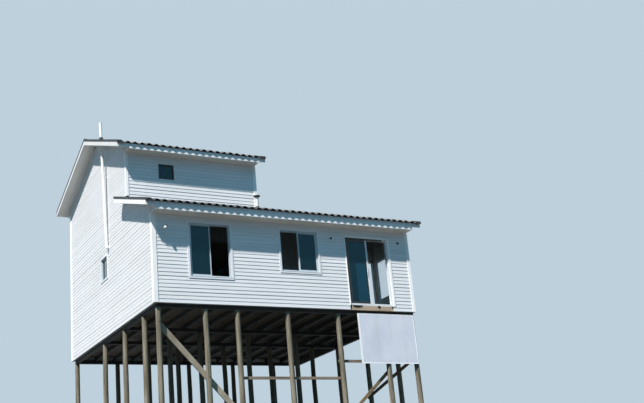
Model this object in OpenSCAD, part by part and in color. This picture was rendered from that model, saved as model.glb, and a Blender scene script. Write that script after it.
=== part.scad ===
// Timber house on round poles, with a raised storey at one end, lean-to roof along the front,
// gable roof over the raised storey and large-wave roofing sheets. The front faces -Y.
// Heights are given from the underside of the wall cladding, which stands on the pole beams.

/* [House] */
// Length of the front wall
house_l = 8120; // [7000:10:9500]
// Depth from the front wall to the back edge of the floor
house_d = 7600; // [6800:10:8800]
// Depth of the low front part under the lean-to roof
wing_d = 1930; // [1700:10:2300]
// Length of the raised storey along the front
tower_w = 4120; // [3700:10:4700]
// Thickness of the walls
wall_t = 100; // [80:5:140]
// Height of the front eave soffit
soffit_z = 2450; // [2350:10:2700]
// Height of the raised storey's eave soffit
upper_soffit_z = 4955; // [4750:10:5200]
// Thickness of the storey floor between the two storeys
storey_floor_t = 150; // [120:10:200]

/* [Platform] */
// Height of the wall foot above the lowest ground
foot_h = 3200; // [2700:50:3800]
// Diameter of the round poles
pole_d = 150; // [120:5:180]
// Distance of the front pole line behind the front wall
pole_y = 130; // [110:5:170]
// Depth of the pole beams
beam_h = 100; // [80:5:160]
// Width of the pole beams
beam_w = 100; // [80:5:120]
// Depth of the floor joists
joist_h = 120; // [90:5:150]
// Width of the floor joists
joist_w = 50; // [38:2:60]
// Largest spacing of the floor joists
joist_gap = 620; // [450:10:800]
// Thickness of the floor boards
deck_t = 20; // [15:1:30]

/* [Roof] */
// Pitch of the lean-to roof in degrees
low_pitch = 19.8; // [15:0.1:24]
// Pitch of the raised storey's gable roof in degrees
high_pitch = 22.3; // [18:0.1:27]
// Overhang of the lean-to roof at the front eave
low_eave = 440; // [300:10:520]
// Overhang of the lean-to roof at both ends
low_verge = 300; // [180:10:340]
// How far the lean-to's left verge runs on beside the raised storey
verge_tail = 280; // [120:10:360]
// Overhang of the gable roof at its two eaves
high_eave = 400; // [250:10:450]
// Overhang of the gable roof at the left end
high_verge_l = 370; // [280:10:420]
// Overhang of the gable roof at the right end
high_verge_r = 220; // [160:10:300]
// Height of the sheets' lower side at the front eave edge
low_edge_z = 2645; // [2620:5:2900]
// Height of the sheets' lower side at the gable roof's eave edge
high_edge_z = 5091; // [5070:1:5400]
// Width of one wave of the roofing sheets
wave_w = 211; // [170:1:260]
// Depth of one wave of the roofing sheets
wave_h = 56; // [36:1:60]
// Thickness of the roofing sheets
sheet_t = 8; // [5:1:12]
// Thickness of the fascia and verge boards
board_t = 25; // [18:1:32]
// Depth of the verge boards
verge_h = 130; // [110:5:160]
// Thickness of the soffit boards
soffit_t = 10; // [8:1:16]

/* [Openings] */
// Left edge of the glazed sliding door
door_x = 5930; // [5700:10:6000]
// Width of the glazed sliding door
door_w = 1450; // [1300:10:1500]
// Top of the glazed sliding door
door_top = 2180; // [2050:10:2250]
// How far the sliding leaf stands open, from 0 shut to 1 fully open
door_open = 1; // [0:0.05:1]
// Left edge of the first front window
win1_x = 1040; // [900:10:1200]
// Sill height of the first front window
win1_z = 760; // [700:10:850]
// Width and height of the first front window
win1_size = [1200, 1500]; // [900:10:1600]
// Left edge of the second front window
win2_x = 3790; // [3600:10:4000]
// Sill height of the second front window
win2_z = 1050; // [900:10:1100]
// Width and height of the second front window
win2_size = [1200, 1200]; // [900:10:1300]
// Width of the white boards round the windows
trim_w = 60; // [45:5:70]
// Thickness of the white boards round the windows and at the corners
trim_t = 24; // [20:1:30]

/* [Fittings] */
// Width of the sign board
sign_w = 1930; // [1700:10:2000]
// Height of the sign board
sign_h = 1455; // [1200:5:1600]
// Outer diameter of the vent pipe on the left wall
vent_d = 90; // [75:5:110]
// Outer diameter of the short flue beside the raised storey
flue_d = 90; // [75:5:110]

/* [Hidden] */
$fn = 48;

// Small gap where two pieces of one frame or a pane and its bars meet
fit = 0.3;
// Running gap of the sliding leaf
run = 6;
// Gap under a slanting seat, where a purlin or rafter rests on a wall or on a rafter
seat = 0.1;

// Middle of the roof outline in plan; the sheet crests lean out past the eaves
mid_x = (house_l + low_verge - high_verge_l) / 2;
low_crest = (wave_h + sheet_t) * sin(low_pitch);
high_crest = (wave_h + sheet_t) * sin(high_pitch);
mid_y = (house_d + high_eave + high_crest - low_eave - low_crest) / 2;

// Floor levels
deck_z = joist_h + deck_t;

// Roof surfaces: the level of the sheets' lower side at depth y
tl = tan(low_pitch);
th = tan(high_pitch);
high_y0 = wing_d - high_eave;
high_y1 = house_d + high_eave;
ridge_y = (high_y0 + high_y1) / 2;
function low_roof(y) = low_edge_z + tl * (y + low_eave);
function high_roof(y) = high_edge_z + th * (y < ridge_y ? y - high_y0 : high_y1 - y);
// Levels under the purlins and under the rafters
purlin_h = 60;
purlin_w = 50;
rafter_h = 100;
rafter_w = 50;
low_p = purlin_h / cos(low_pitch);
low_r = low_p + rafter_h / cos(low_pitch);
high_p = purlin_h / cos(high_pitch);
high_r = high_p + rafter_h / cos(high_pitch);
// The sheets stand out past the two fascias by this much
low_lip = 65;
high_lip = 45;

// Waves of the sheets, in eight straight steps each
steps = 8;
function wave(i) = wave_h / 2 * (1 - cos(360 * i / steps));

// Pole positions along the front, as they stand
pole_x = [130, 1450, 2390, 3920, 5530, 7070, house_l - 70];
row_y = [2800, 4600, house_d - 110];
left_extra_y = 1180;
right_extra_y = 1100;

// Draws in the house's own corner frame: x from the left wall, y from the front wall
module place() translate([-mid_x, -mid_y, foot_h]) children();

// Box between two corners
module slab(a, b) translate(a) cube([b[0] - a[0], b[1] - a[1], b[2] - a[2]]);

// Outline in y and z carried along x from x0 to x1
module along_x(x0, x1) translate([x0, 0, 0]) rotate([90, 0, 90]) linear_extrude(x1 - x0) children();

// Outline in x and z carried along y from y0 to y1
module along_y(y0, y1) translate([0, y1, 0]) rotate([90, 0, 0]) linear_extrude(y1 - y0) children();

// Four bars with butt joints round a clear opening, set in the x-z plane
module bars(x0, x1, z0, z1, y0, y1, w) {
    slab([x0, y0, z0], [x0 + w, y1, z1]);
    slab([x1 - w, y0, z0], [x1, y1, z1]);
    slab([x0 + w + fit, y0, z0], [x1 - w - fit, y1, z0 + w]);
    slab([x0 + w + fit, y0, z1 - w], [x1 - w - fit, y1, z1]);
}

// Pane that fits between the bars
module pane(x0, x1, z0, z1, y, w) {
    slab([x0 + w + fit, y - 2.5, z0 + w + fit], [x1 - w - fit, y + 2.5, z1 - w - fit]);
}

// The same piece turned to stand in a wall that runs along y, with its outside towards -x
module turn_left() rotate([0, 0, -90]) mirror([1, 0, 0]) children();

// One round pole from the ground to the underside of its beam
module pole(x, y) translate([x, y, -foot_h]) cylinder(d = pole_d, h = foot_h - beam_h);

// Poles of the front line, under the front beam
module poles_front() color("darkkhaki") place()
    for (x = pole_x) pole(x, pole_y);

// Poles of the two sides
module poles_sides() color("darkkhaki") place() {
    pole(pole_x[0], left_extra_y);
    pole(pole_x[6], right_extra_y);
    for (y = row_y) {
        pole(pole_x[0], y);
        pole(pole_x[6], y);
    }
}

// Poles under the middle of the floor
module poles_inner() color("gray") place()
    for (y = row_y, i = [1:5]) pole(pole_x[i], y);

// Beams along the four edges, on the poles
module pole_beams() color("dimgray") place() {
    for (y = [pole_y, row_y[2]])
        slab([pole_x[0] - beam_w / 2, y - beam_w / 2, -beam_h],
             [pole_x[6] + beam_w / 2, y + beam_w / 2, 0]);
    for (x = [pole_x[0], pole_x[6]])
        slab([x - beam_w / 2, pole_y + beam_w / 2 + fit, -beam_h],
             [x + beam_w / 2, row_y[2] - beam_w / 2 - fit, 0]);
}

// Beams from side to side under the middle of the floor
module cross_beams() color("dimgray") place()
    for (y = [row_y[0], row_y[1]])
        slab([pole_x[0] + beam_w / 2 + fit, y - beam_w / 2, -beam_h],
             [pole_x[6] - beam_w / 2 - fit, y + beam_w / 2, 0]);

// Joists from front to back on the beams
module floor_joists() color("burlywood") place() {
    n = ceil((house_l - 2 * wall_t - joist_w) / joist_gap);
    for (i = [0:n]) {
        x = wall_t + (house_l - 2 * wall_t - joist_w) * i / n;
        slab([x, wall_t, 0], [x + joist_w, house_d - wall_t, joist_h]);
    }
}

// Boarded floor of the rooms and of the open terrace behind the low part
module floor_deck() color("tan") place()
    translate([0, 0, joist_h]) linear_extrude(deck_t)
        polygon([[wall_t, wall_t], [house_l - wall_t, wall_t], [house_l - wall_t, wing_d],
            [house_l, wing_d], [house_l, house_d], [tower_w - wall_t, house_d],
            [tower_w - wall_t, house_d - wall_t], [wall_t, house_d - wall_t]]);

// Boards that close the terrace edge
module terrace_rim() color("whitesmoke") place() {
    slab([house_l - 45, wing_d, 0], [house_l, house_d, joist_h]);
    slab([tower_w - wall_t, house_d - wall_t, 0], [house_l - 45 - fit, house_d - 45 - fit, joist_h]);
    slab([tower_w - wall_t, house_d - 45, 0], [house_l - 45 - fit, house_d, joist_h]);
}

// Bare board under the sliding door, where the cladding is left off
module front_sill_board() color("tan") place()
    slab([door_x, 0, 0], [door_x + door_w, wall_t, deck_z]);

// Long board that braces the front poles, fixed behind them
brace_y = pole_y + pole_d / 2;
module diagonal_brace() color("darkkhaki") place()
    translate([pole_x[0], brace_y, -460]) rotate([0, 47.6, 0])
        translate([0, 0, -75]) cube([3380, 38, 150]);

// Level rails behind the front poles
module pole_rails() color("rosybrown") place() {
    slab([pole_x[2] + 120, brace_y, -1965], [pole_x[4] + 70, brace_y + 40, -1890]);
    slab([pole_x[4] - 50, brace_y, -1480], [pole_x[5] + 60, brace_y + 40, -1405]);
}

// Braces at the right end: one slants up to a front pole, one runs along the side
module right_braces() color("gray") place() {
    translate([pole_x[4], brace_y, -3150]) rotate([0, -41, 0]) cube([2080, 38, 90]);
    translate([pole_x[6] - pole_d / 2 - 38, 60, -1400]) rotate([-14, 0, 0]) cube([38, 2850, 90]);
}

// Front wall left of the door, with two windows
module front_wall_left() color("white") place() difference() {
    along_x(wall_t, door_x) front_outline();
    slab([win1_x, -1, win1_z], [win1_x + win1_size[0], wall_t + 1, win1_z + win1_size[1]]);
    slab([win2_x, -1, win2_z], [win2_x + win2_size[0], wall_t + 1, win2_z + win2_size[1]]);
}

// Section of the front wall, its top cut to the rafters
module front_outline(z0 = 0)
    polygon([[0, z0], [wall_t, z0], [wall_t, low_roof(wall_t) - low_r - seat],
        [0, low_roof(0) - low_r - seat]]);

// Wall over the sliding door
module front_wall_over_door() color("white") place()
    along_x(door_x, door_x + door_w) front_outline(door_top);

// Wall from the sliding door to the right corner
module front_wall_right() color("white") place()
    along_x(door_x + door_w, house_l - wall_t) front_outline();

// Left wall: under the lean-to roof in front, rising to the gable behind
side_win_y = 3820;
side_win_z = 1750;
side_win_size = [560, 650];
module left_wall() color("white") place() difference() {
    along_x(0, wall_t) polygon([[0, 0], [0, low_roof(0) - low_p - seat],
        [wing_d, low_roof(wing_d) - low_p - seat], [wing_d, high_roof(wing_d) - high_p - seat],
        [ridge_y, high_roof(ridge_y) - high_p - seat], [house_d, high_roof(house_d) - high_p - seat],
        [house_d, 0]]);
    slab([-1, side_win_y, side_win_z],
         [wall_t + 1, side_win_y + side_win_size[0], side_win_z + side_win_size[1]]);
}

// End wall of the low part, with one window
end_win_y = 560;
end_win_z = 780;
end_win_size = [1180, 1250];
module right_end_wall() color("white") place() difference() {
    along_x(house_l - wall_t, house_l) polygon([[0, 0], [0, low_roof(0) - low_p - seat],
        [wing_d, low_roof(wing_d) - low_p - seat], [wing_d, 0]]);
    slab([house_l - wall_t - 1, end_win_y, end_win_z],
         [house_l + 1, end_win_y + end_win_size[0], end_win_z + end_win_size[1]]);
}

// Back wall of the low part, with an open doorway to the terrace
terrace_door_x = house_l - 760;
terrace_door_w = 640;
terrace_door_top = 2050;
module wing_back_wall() color("white") place() difference() {
    along_x(tower_w, house_l - wall_t) polygon([[wing_d - wall_t, deck_z], [wing_d, deck_z],
        [wing_d, low_roof(wing_d) - low_r - seat],
        [wing_d - wall_t, low_roof(wing_d - wall_t) - low_r - seat]]);
    slab([terrace_door_x, wing_d - wall_t - 1, deck_z - 1],
         [terrace_door_x + terrace_door_w, wing_d + 1, terrace_door_top]);
}

// Front wall of the raised storey, over the opening between the front room and the back
up_win_x = 985;
up_win_z = 4240;
up_win_size = [480, 470];
module raised_front_wall() color("white") place() difference() {
    along_x(wall_t, tower_w - wall_t) polygon([[wing_d, soffit_z], [wing_d + wall_t, soffit_z],
        [wing_d + wall_t, high_roof(wing_d + wall_t) - high_r - seat],
        [wing_d, high_roof(wing_d) - high_r - seat]]);
    slab([up_win_x, wing_d - 1, up_win_z],
         [up_win_x + up_win_size[0], wing_d + wall_t + 1, up_win_z + up_win_size[1]]);
}

// Right wall of the raised part, beside the terrace
module raised_right_wall() color("white") place()
    along_x(tower_w - wall_t, tower_w) polygon([[wing_d, deck_z],
        [wing_d, high_roof(wing_d) - high_p - seat], [ridge_y, high_roof(ridge_y) - high_p - seat],
        [house_d, high_roof(house_d) - high_p - seat], [house_d, deck_z]]);

// Back wall of the raised part, with a window in each storey
back_win_x = 1460;
up_back_win_x = 1820;
module back_wall() color("white") place() difference() {
    along_x(wall_t, tower_w - wall_t) polygon([[house_d - wall_t, 0], [house_d, 0],
        [house_d, high_roof(house_d) - high_r - seat],
        [house_d - wall_t, high_roof(house_d - wall_t) - high_r - seat]]);
    slab([back_win_x, house_d - wall_t - 1, win2_z],
         [back_win_x + win2_size[0], house_d + 1, win2_z + win2_size[1]]);
    slab([up_back_win_x, house_d - wall_t - 1, up_win_z],
         [up_back_win_x + up_win_size[0], house_d + 1, up_win_z + up_win_size[1]]);
}

// Floor of the raised storey
module storey_floor() color("tan") place()
    slab([wall_t, wing_d + wall_t, soffit_z],
         [tower_w - wall_t, house_d - wall_t, soffit_z + storey_floor_t]);

// White boards up the corners, one on each face and as wide as the wall is thick
corner_w = wall_t;
raised_corner_z = low_roof(wing_d + corner_w) + (wave_h + sheet_t) / cos(low_pitch) + 15;
function under_verge(y) = (y < wing_d ? low_roof(y) : high_roof(y)) - verge_h - fit;
module corner(x, y, sx, sy, z0, z1) {
    slab([sx < 0 ? x - trim_t : x - corner_w, sy < 0 ? y - trim_t : y, z0],
         [sx < 0 ? x + corner_w : x + trim_t, sy < 0 ? y : y + trim_t, z1]);
    y0 = sy < 0 ? y + fit : y - corner_w;
    y1 = sy < 0 ? y + corner_w : y - fit;
    along_x(sx < 0 ? x - trim_t : x, sx < 0 ? x : x + trim_t)
        polygon([[y0, z0], [y1, z0], [y1, under_verge(y1)], [y0, under_verge(y0)]]);
}
module corner_boards() color("white") place() {
    corner(0, 0, -1, -1, 0, soffit_z - fit);
    corner(house_l, 0, 1, -1, 0, soffit_z - fit);
    corner(0, house_d, -1, 1, 0, upper_soffit_z - fit);
    corner(tower_w, house_d, 1, 1, deck_z + fit, upper_soffit_z - fit);
    corner(0, wing_d, -1, -1, raised_corner_z, upper_soffit_z - fit);
    corner(tower_w, wing_d, 1, -1, raised_corner_z, upper_soffit_z - fit);
}

// White boards round the larger windows
module trim(x0, x1, z0, z1) bars(x0 - trim_w, x1 + trim_w, z0 - trim_w, z1 + trim_w, -trim_t, 0, trim_w);
module window_trims() color("white") place() {
    trim(win1_x, win1_x + win1_size[0], win1_z, win1_z + win1_size[1]);
    trim(win2_x, win2_x + win2_size[0], win2_z, win2_z + win2_size[1]);
    turn_left() trim(side_win_y, side_win_y + side_win_size[0], side_win_z, side_win_z + side_win_size[1]);
    translate([house_l, 0, 0]) mirror([1, 0, 0]) turn_left()
        trim(end_win_y, end_win_y + end_win_size[0], end_win_z, end_win_z + end_win_size[1]);
    translate([0, house_d, 0]) mirror([0, 1, 0])
        trim(back_win_x, back_win_x + win2_size[0], win2_z, win2_z + win2_size[1]);
}

// Metal frames set in the wall openings
frame_w = 35;
frame_y = [12, 78];
module frame(x, z, size) bars(x + fit, x + size[0] - fit, z + fit, z + size[1] - fit,
    frame_y[0], frame_y[1], frame_w);
module window_frames() color("lightgray") place() {
    frame(win1_x, win1_z, win1_size);
    frame(win2_x, win2_z, win2_size);
    turn_left() frame(side_win_y, side_win_z, side_win_size);
    translate([0, wing_d, 0]) frame(up_win_x, up_win_z, up_win_size);
    translate([house_l, 0, 0]) mirror([1, 0, 0]) turn_left() frame(end_win_y, end_win_z, end_win_size);
    translate([0, house_d, 0]) mirror([0, 1, 0]) frame(back_win_x, win2_z, win2_size);
    translate([0, house_d, 0]) mirror([0, 1, 0]) frame(up_back_win_x, up_win_z, up_win_size);
}

// Sliding sashes: both stand at one side, so that half of each window is open
sash_w = 30;
sash_y = [[20, 40], [48, 68]];
function sash_len(size) = (size[0] - 2 * frame_w) / 2 + 20;
module sash(x, z, size, side, k) {
    l = sash_len(size);
    x0 = side < 0 ? x + frame_w + 2 * fit : x + size[0] - frame_w - l - 2 * fit;
    bars(x0, x0 + l, z + frame_w + 2 * fit, z + size[1] - frame_w - 2 * fit,
        sash_y[k][0], sash_y[k][1], sash_w);
}
module window_sashes() color("lightgray") place() {
    for (k = [0, 1]) {
        sash(win1_x, win1_z, win1_size, -1, k);
        sash(win2_x, win2_z, win2_size, 1, k);
    }
    turn_left() slab([side_win_y + side_win_size[0] / 2 - 12, 30, side_win_z + frame_w + 2 * fit],
        [side_win_y + side_win_size[0] / 2 + 12, 60, side_win_z + side_win_size[1] - frame_w - 2 * fit]);
    translate([0, house_d, 0]) mirror([0, 1, 0])
        slab([back_win_x + win2_size[0] / 2 - 15, 30, win2_z + frame_w + 2 * fit],
             [back_win_x + win2_size[0] / 2 + 15, 60, win2_z + win2_size[1] - frame_w - 2 * fit]);
}

// Panes of all windows
module sash_pane(x, z, size, side, k) {
    l = sash_len(size);
    x0 = side < 0 ? x + frame_w + 2 * fit : x + size[0] - frame_w - l - 2 * fit;
    pane(x0, x0 + l, z + frame_w + 2 * fit, z + size[1] - frame_w - 2 * fit,
        (sash_y[k][0] + sash_y[k][1]) / 2, sash_w);
}
module fixed_pane(x, z, size) pane(x + fit, x + size[0] - fit, z + fit, z + size[1] - fit, 45, frame_w);
module split_pane(x, z, size, bar) {
    slab([x + frame_w + 2 * fit, 42.5, z + frame_w + 2 * fit],
         [x + size[0] / 2 - bar / 2 - fit, 47.5, z + size[1] - frame_w - 2 * fit]);
    slab([x + size[0] / 2 + bar / 2 + fit, 42.5, z + frame_w + 2 * fit],
         [x + size[0] - frame_w - 2 * fit, 47.5, z + size[1] - frame_w - 2 * fit]);
}
module window_glass() color("darkslategray") place() {
    for (k = [0, 1]) {
        sash_pane(win1_x, win1_z, win1_size, -1, k);
        sash_pane(win2_x, win2_z, win2_size, 1, k);
    }
    turn_left() split_pane(side_win_y, side_win_z, side_win_size, 24);
    translate([0, wing_d, 0]) fixed_pane(up_win_x, up_win_z, up_win_size);
    translate([house_l, 0, 0]) mirror([1, 0, 0]) turn_left() fixed_pane(end_win_y, end_win_z, end_win_size);
    translate([0, house_d, 0]) mirror([0, 1, 0]) split_pane(back_win_x, win2_z, win2_size, 30);
    translate([0, house_d, 0]) mirror([0, 1, 0]) fixed_pane(up_back_win_x, up_win_z, up_win_size);
}

// Frame of the sliding door: a ring with a deeper foot
door_bar = 45;
door_foot = 60;
door_y = [6, 96];
door_in = [door_x + door_bar, door_x + door_w - door_bar];
leaf_z = [deck_z + door_foot, door_top - door_bar];
module door_frame() color("white") place() difference() {
    slab([door_x + fit, door_y[0], deck_z], [door_x + door_w - fit, door_y[1], door_top - fit]);
    slab([door_in[0], door_y[0] - 1, leaf_z[0]], [door_in[1], door_y[1] + 1, leaf_z[1]]);
}

// The two leaves of the door, one behind the other; each has four bars and a pane,
// and the outer one runs on two rollers under its bottom bar
leaf_w = 55;
leaf_t = 30;
leaf_l = (door_in[1] - door_in[0]) / 2 + 15;
slide_y = 16;
fixed_y = slide_y + leaf_t + 2 * run;
slide_x = door_in[0] + run + (1 - door_open) * (door_in[1] - door_in[0] - leaf_l - 2 * run);
module leaf(x, y, gap) bars(x, x + leaf_l, leaf_z[0] + gap, leaf_z[1] - gap, y, y + leaf_t, leaf_w);
module leaf_pane(x, y, gap) pane(x, x + leaf_l, leaf_z[0] + gap, leaf_z[1] - gap, y + leaf_t / 2, leaf_w);
module door_fixed_leaf() color("white") place() leaf(door_in[0] + fit, fixed_y, fit);
module door_fixed_glass() color("darkslategray") place() leaf_pane(door_in[0] + fit, fixed_y, fit);
roller_d = 40;
module roller(x) translate([x, slide_y + 9, leaf_z[0] + fit + roller_d / 2]) rotate([-90, 0, 0])
    cylinder(d = roller_d, h = leaf_t - 18);
module door_sliding_leaf() color("white") place() {
    leaf(slide_x, slide_y, run);
    for (x = [slide_x + leaf_w + 60, slide_x + leaf_l - leaf_w - 60]) roller(x);
}
module door_sliding_glass() color("darkslategray") place() leaf_pane(slide_x, slide_y, run);

// Rafters of the lean-to roof
low_rafter_x = [1430, 2760, tower_w + 90, 5520, 6790];
module low_rafters() color("burlywood") place()
    for (x = low_rafter_x) along_x(x, x + rafter_w)
        polygon([[low_fascia_y + board_t + fit, low_roof(low_fascia_y + board_t + fit) - low_r],
            [wing_d, low_roof(wing_d) - low_r],
            [wing_d, low_roof(wing_d) - low_p - seat],
            [low_fascia_y + board_t + fit, low_roof(low_fascia_y + board_t + fit) - low_p - seat]]);

// Purlins of the lean-to roof, across the rafters and over the two end walls
low_fascia_y = -low_eave + low_lip;
low_purlin_y = [low_fascia_y + board_t + fit + purlin_w / 2, 260, 860, 1400, wing_d - 60];
module purlin(x0, x1, y, za, zb) along_x(x0, x1)
    polygon([[y - purlin_w / 2, za], [y + purlin_w / 2, zb],
        [y + purlin_w / 2, zb + purlin_drop(za, zb)], [y - purlin_w / 2, za + purlin_drop(za, zb)]]);
function purlin_drop(za, zb) = purlin_h * sqrt(pow(zb - za, 2) + pow(purlin_w, 2)) / purlin_w;
module low_purlins() color("burlywood") place()
    for (y = low_purlin_y)
        purlin(-low_verge + board_t + fit, house_l + low_verge - board_t - fit, y,
            low_roof(y - purlin_w / 2) - low_p, low_roof(y + purlin_w / 2) - low_p);

// Fascia, verge boards, soffits and high edge board of the lean-to roof. The boxed eave runs
// from wall corner to wall corner; past the corners only the shallow boards run on.
module low_strip(y0, y1, top, bottom) polygon([[y0, low_roof(y0) - top], [y1, low_roof(y1) - top],
    [y1, low_roof(y1) - bottom], [y0, low_roof(y0) - bottom]]);
module low_eave_boards() color("white") place() {
    x0 = -low_verge;
    x1 = house_l + low_verge;
    fy = low_fascia_y;
    fb = fy + board_t;
    along_x(x0, x0 + board_t) low_strip(fy, wing_d + verge_tail, 0, verge_h);
    along_x(x1 - board_t, x1) low_strip(fy, wing_d, 0, verge_h);
    along_x(x0 + board_t + fit, x1 - board_t - fit) low_strip(fy, fb, 0, verge_h);
    along_x(0, house_l) polygon([[fy, soffit_z], [fb, soffit_z], [fb, low_roof(fb) - 20],
        [fy, low_roof(fy) - 20]]);
    slab([0, fb + fit, soffit_z], [house_l, -fit, soffit_z + soffit_t]);
    for (x = [0, house_l - board_t])
        along_x(x, x + board_t) polygon([[fb + fit, soffit_z + soffit_t + fit],
            [-fit, soffit_z + soffit_t + fit], [-fit, low_roof(-fit) - verge_h + soffit_t],
            [fb + fit, low_roof(fb + fit) - verge_h + soffit_t]]);
    for (x = [[x0 + board_t + fit, -fit], [house_l + fit, x1 - board_t - fit]])
        along_x(x[0], x[1]) low_strip(fb + fit, wing_d - fit, verge_h - soffit_t, verge_h);
    along_x(tower_w + fit, x1 - board_t - fit)
        polygon([[wing_d, low_roof(wing_d) - low_r - 60], [wing_d + board_t, low_roof(wing_d) - low_r - 60],
            [wing_d + board_t, low_roof(wing_d) + wave_h], [wing_d, low_roof(wing_d) + wave_h]]);
}

// One sloped field of waved sheet: n steps wide, len long up the slope, from its low left corner
module waved_sheet(n, step, len) along_y(0, len)
    polygon(concat([for (i = [0:n]) [i * step, wave(i)]],
        [for (i = [n:-1:0]) [i * step, wave(i) + sheet_t]]));

// Sheets of the lean-to roof, holed for the flue
low_span = house_l + 2 * low_verge;
low_n = steps * round(low_span / wave_w);
low_step = low_span / low_n;
low_len = (wing_d + low_eave - 5) / cos(low_pitch);
flue_x = tower_w - 85;
flue_y = wing_d - 205;
module low_roof_sheets() color("dimgray") place() difference() {
    translate([-low_verge, -low_eave, low_edge_z]) rotate([low_pitch, 0, 0]) {
        waved_sheet(low_n, low_step, low_len);
        translate([0, low_len + fit, 0]) waved_sheet(floor((low_verge - 2) / low_step), low_step,
            (wing_d + low_eave + verge_tail) / cos(low_pitch) - low_len - fit);
    }
    translate([flue_x, flue_y, soffit_z]) cylinder(d = flue_d + 2 * fit, h = 2500);
}

// Rafters of the gable roof and the board at its ridge
ridge_t = 30;
high_rafter_x = [1430, 2660];
module high_rafters() color("burlywood") place() {
    for (x = high_rafter_x) {
        along_x(x, x + rafter_w) high_rafter_outline();
        translate([0, 2 * ridge_y, 0]) mirror([0, 1, 0]) along_x(x, x + rafter_w) high_rafter_outline();
    }
    slab([wall_t, ridge_y - ridge_t / 2, high_roof(ridge_y) - high_p - 170],
         [tower_w - wall_t, ridge_y + ridge_t / 2, high_roof(ridge_y) - high_p - 8]);
}
module high_rafter_outline() {
    y0 = high_fascia_y + board_t + fit;
    y1 = ridge_y - ridge_t / 2 - fit;
    z0 = max(high_roof(y0) - high_r, upper_soffit_z + soffit_t + fit);
    yt = max(y0, high_y0 + (z0 + high_r - high_edge_z) / th);
    polygon([[y0, z0], [yt, z0], [y1, high_roof(y1) - high_r],
        [y1, high_roof(y1) - high_p - seat], [y0, high_roof(y0) - high_p - seat]]);
}

// Purlins of the gable roof
high_fascia_y = high_y0 + high_lip;
high_purlin_y = [high_fascia_y + board_t + fit + purlin_w / 2, 2420, 3220, 4050, ridge_y - 110];
module high_purlin_set() for (y = high_purlin_y)
    purlin(-high_verge_l + board_t + fit, tower_w + high_verge_r - board_t - fit, y,
        high_roof(y - purlin_w / 2) - high_p, high_roof(y + purlin_w / 2) - high_p);
module high_purlins() color("burlywood") place() {
    high_purlin_set();
    translate([0, 2 * ridge_y, 0]) mirror([0, 1, 0]) high_purlin_set();
}

// Verge boards, fascias and soffits of the gable roof, holed for the vent pipe
module high_strip(y0, y1, top, bottom) polygon([[y0, high_roof(y0) - top], [y1, high_roof(y1) - top],
    [y1, high_roof(y1) - bottom], [y0, high_roof(y0) - bottom]]);
module high_half_boards() {
    x0 = -high_verge_l;
    x1 = tower_w + high_verge_r;
    fy = high_fascia_y;
    fb = fy + board_t;
    along_x(x0, x0 + board_t) high_strip(fy, ridge_y - fit / 2, 0, verge_h);
    along_x(x1 - board_t, x1) high_strip(fy, ridge_y - fit / 2, 0, verge_h);
    along_x(x0 + board_t + fit, x1 - board_t - fit) high_strip(fy, fb, 0, verge_h);
    along_x(0, tower_w) polygon([[fy, upper_soffit_z], [fb, upper_soffit_z], [fb, high_roof(fb) - 20],
        [fy, high_roof(fy) - 20]]);
    slab([0, fb + fit, upper_soffit_z], [tower_w, wing_d - fit, upper_soffit_z + soffit_t]);
    for (x = [0, tower_w - board_t])
        along_x(x, x + board_t) polygon([[fb + fit, upper_soffit_z + soffit_t + fit],
            [wing_d - fit, upper_soffit_z + soffit_t + fit],
            [wing_d - fit, high_roof(wing_d) - verge_h + soffit_t],
            [fb + fit, high_roof(fb + fit) - verge_h + soffit_t]]);
    for (x = [[x0 + board_t + fit, -fit], [tower_w + fit, x1 - board_t - fit]])
        along_x(x[0], x[1]) high_strip(fb + fit, ridge_y - fit, verge_h - soffit_t, verge_h);
}
module high_eave_boards() color("white") place() difference() {
    union() {
        high_half_boards();
        translate([0, 2 * ridge_y, 0]) mirror([0, 1, 0]) high_half_boards();
    }
    vent_line(vent_d + 2 * fit);
}

// Sheets of the two slopes of the gable roof
high_span = tower_w + high_verge_l + high_verge_r;
high_n = steps * round(high_span / wave_w);
high_step = high_span / high_n;
high_len = (ridge_y - high_y0) / cos(high_pitch) - (wave_h + sheet_t) * tan(high_pitch) - 4;
module high_slope() translate([-high_verge_l, high_y0, high_edge_z]) rotate([high_pitch, 0, 0])
    waved_sheet(high_n, high_step, high_len);
module high_roof_front_sheets() color("dimgray") place() difference() {
    high_slope();
    vent_line(vent_d + 2 * fit);
}
module high_roof_back_sheets() color("dimgray") place()
    translate([0, 2 * ridge_y, 0]) mirror([0, 1, 0]) high_slope();

// Folded cap over the ridge, on the crests of the sheets
cap_t = 5;
cap_r = 190;
module ridge_cap() color("dimgray") place() {
    rise = (wave_h + sheet_t) / cos(high_pitch);
    z = high_roof(ridge_y) + rise;
    drop = cap_r * tan(high_pitch);
    t = cap_t / cos(high_pitch);
    along_x(-high_verge_l, tower_w + high_verge_r)
        polygon([[ridge_y - cap_r, z - drop], [ridge_y, z], [ridge_y + cap_r, z - drop],
            [ridge_y + cap_r, z - drop + t], [ridge_y, z + t], [ridge_y - cap_r, z - drop + t]]);
}

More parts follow.
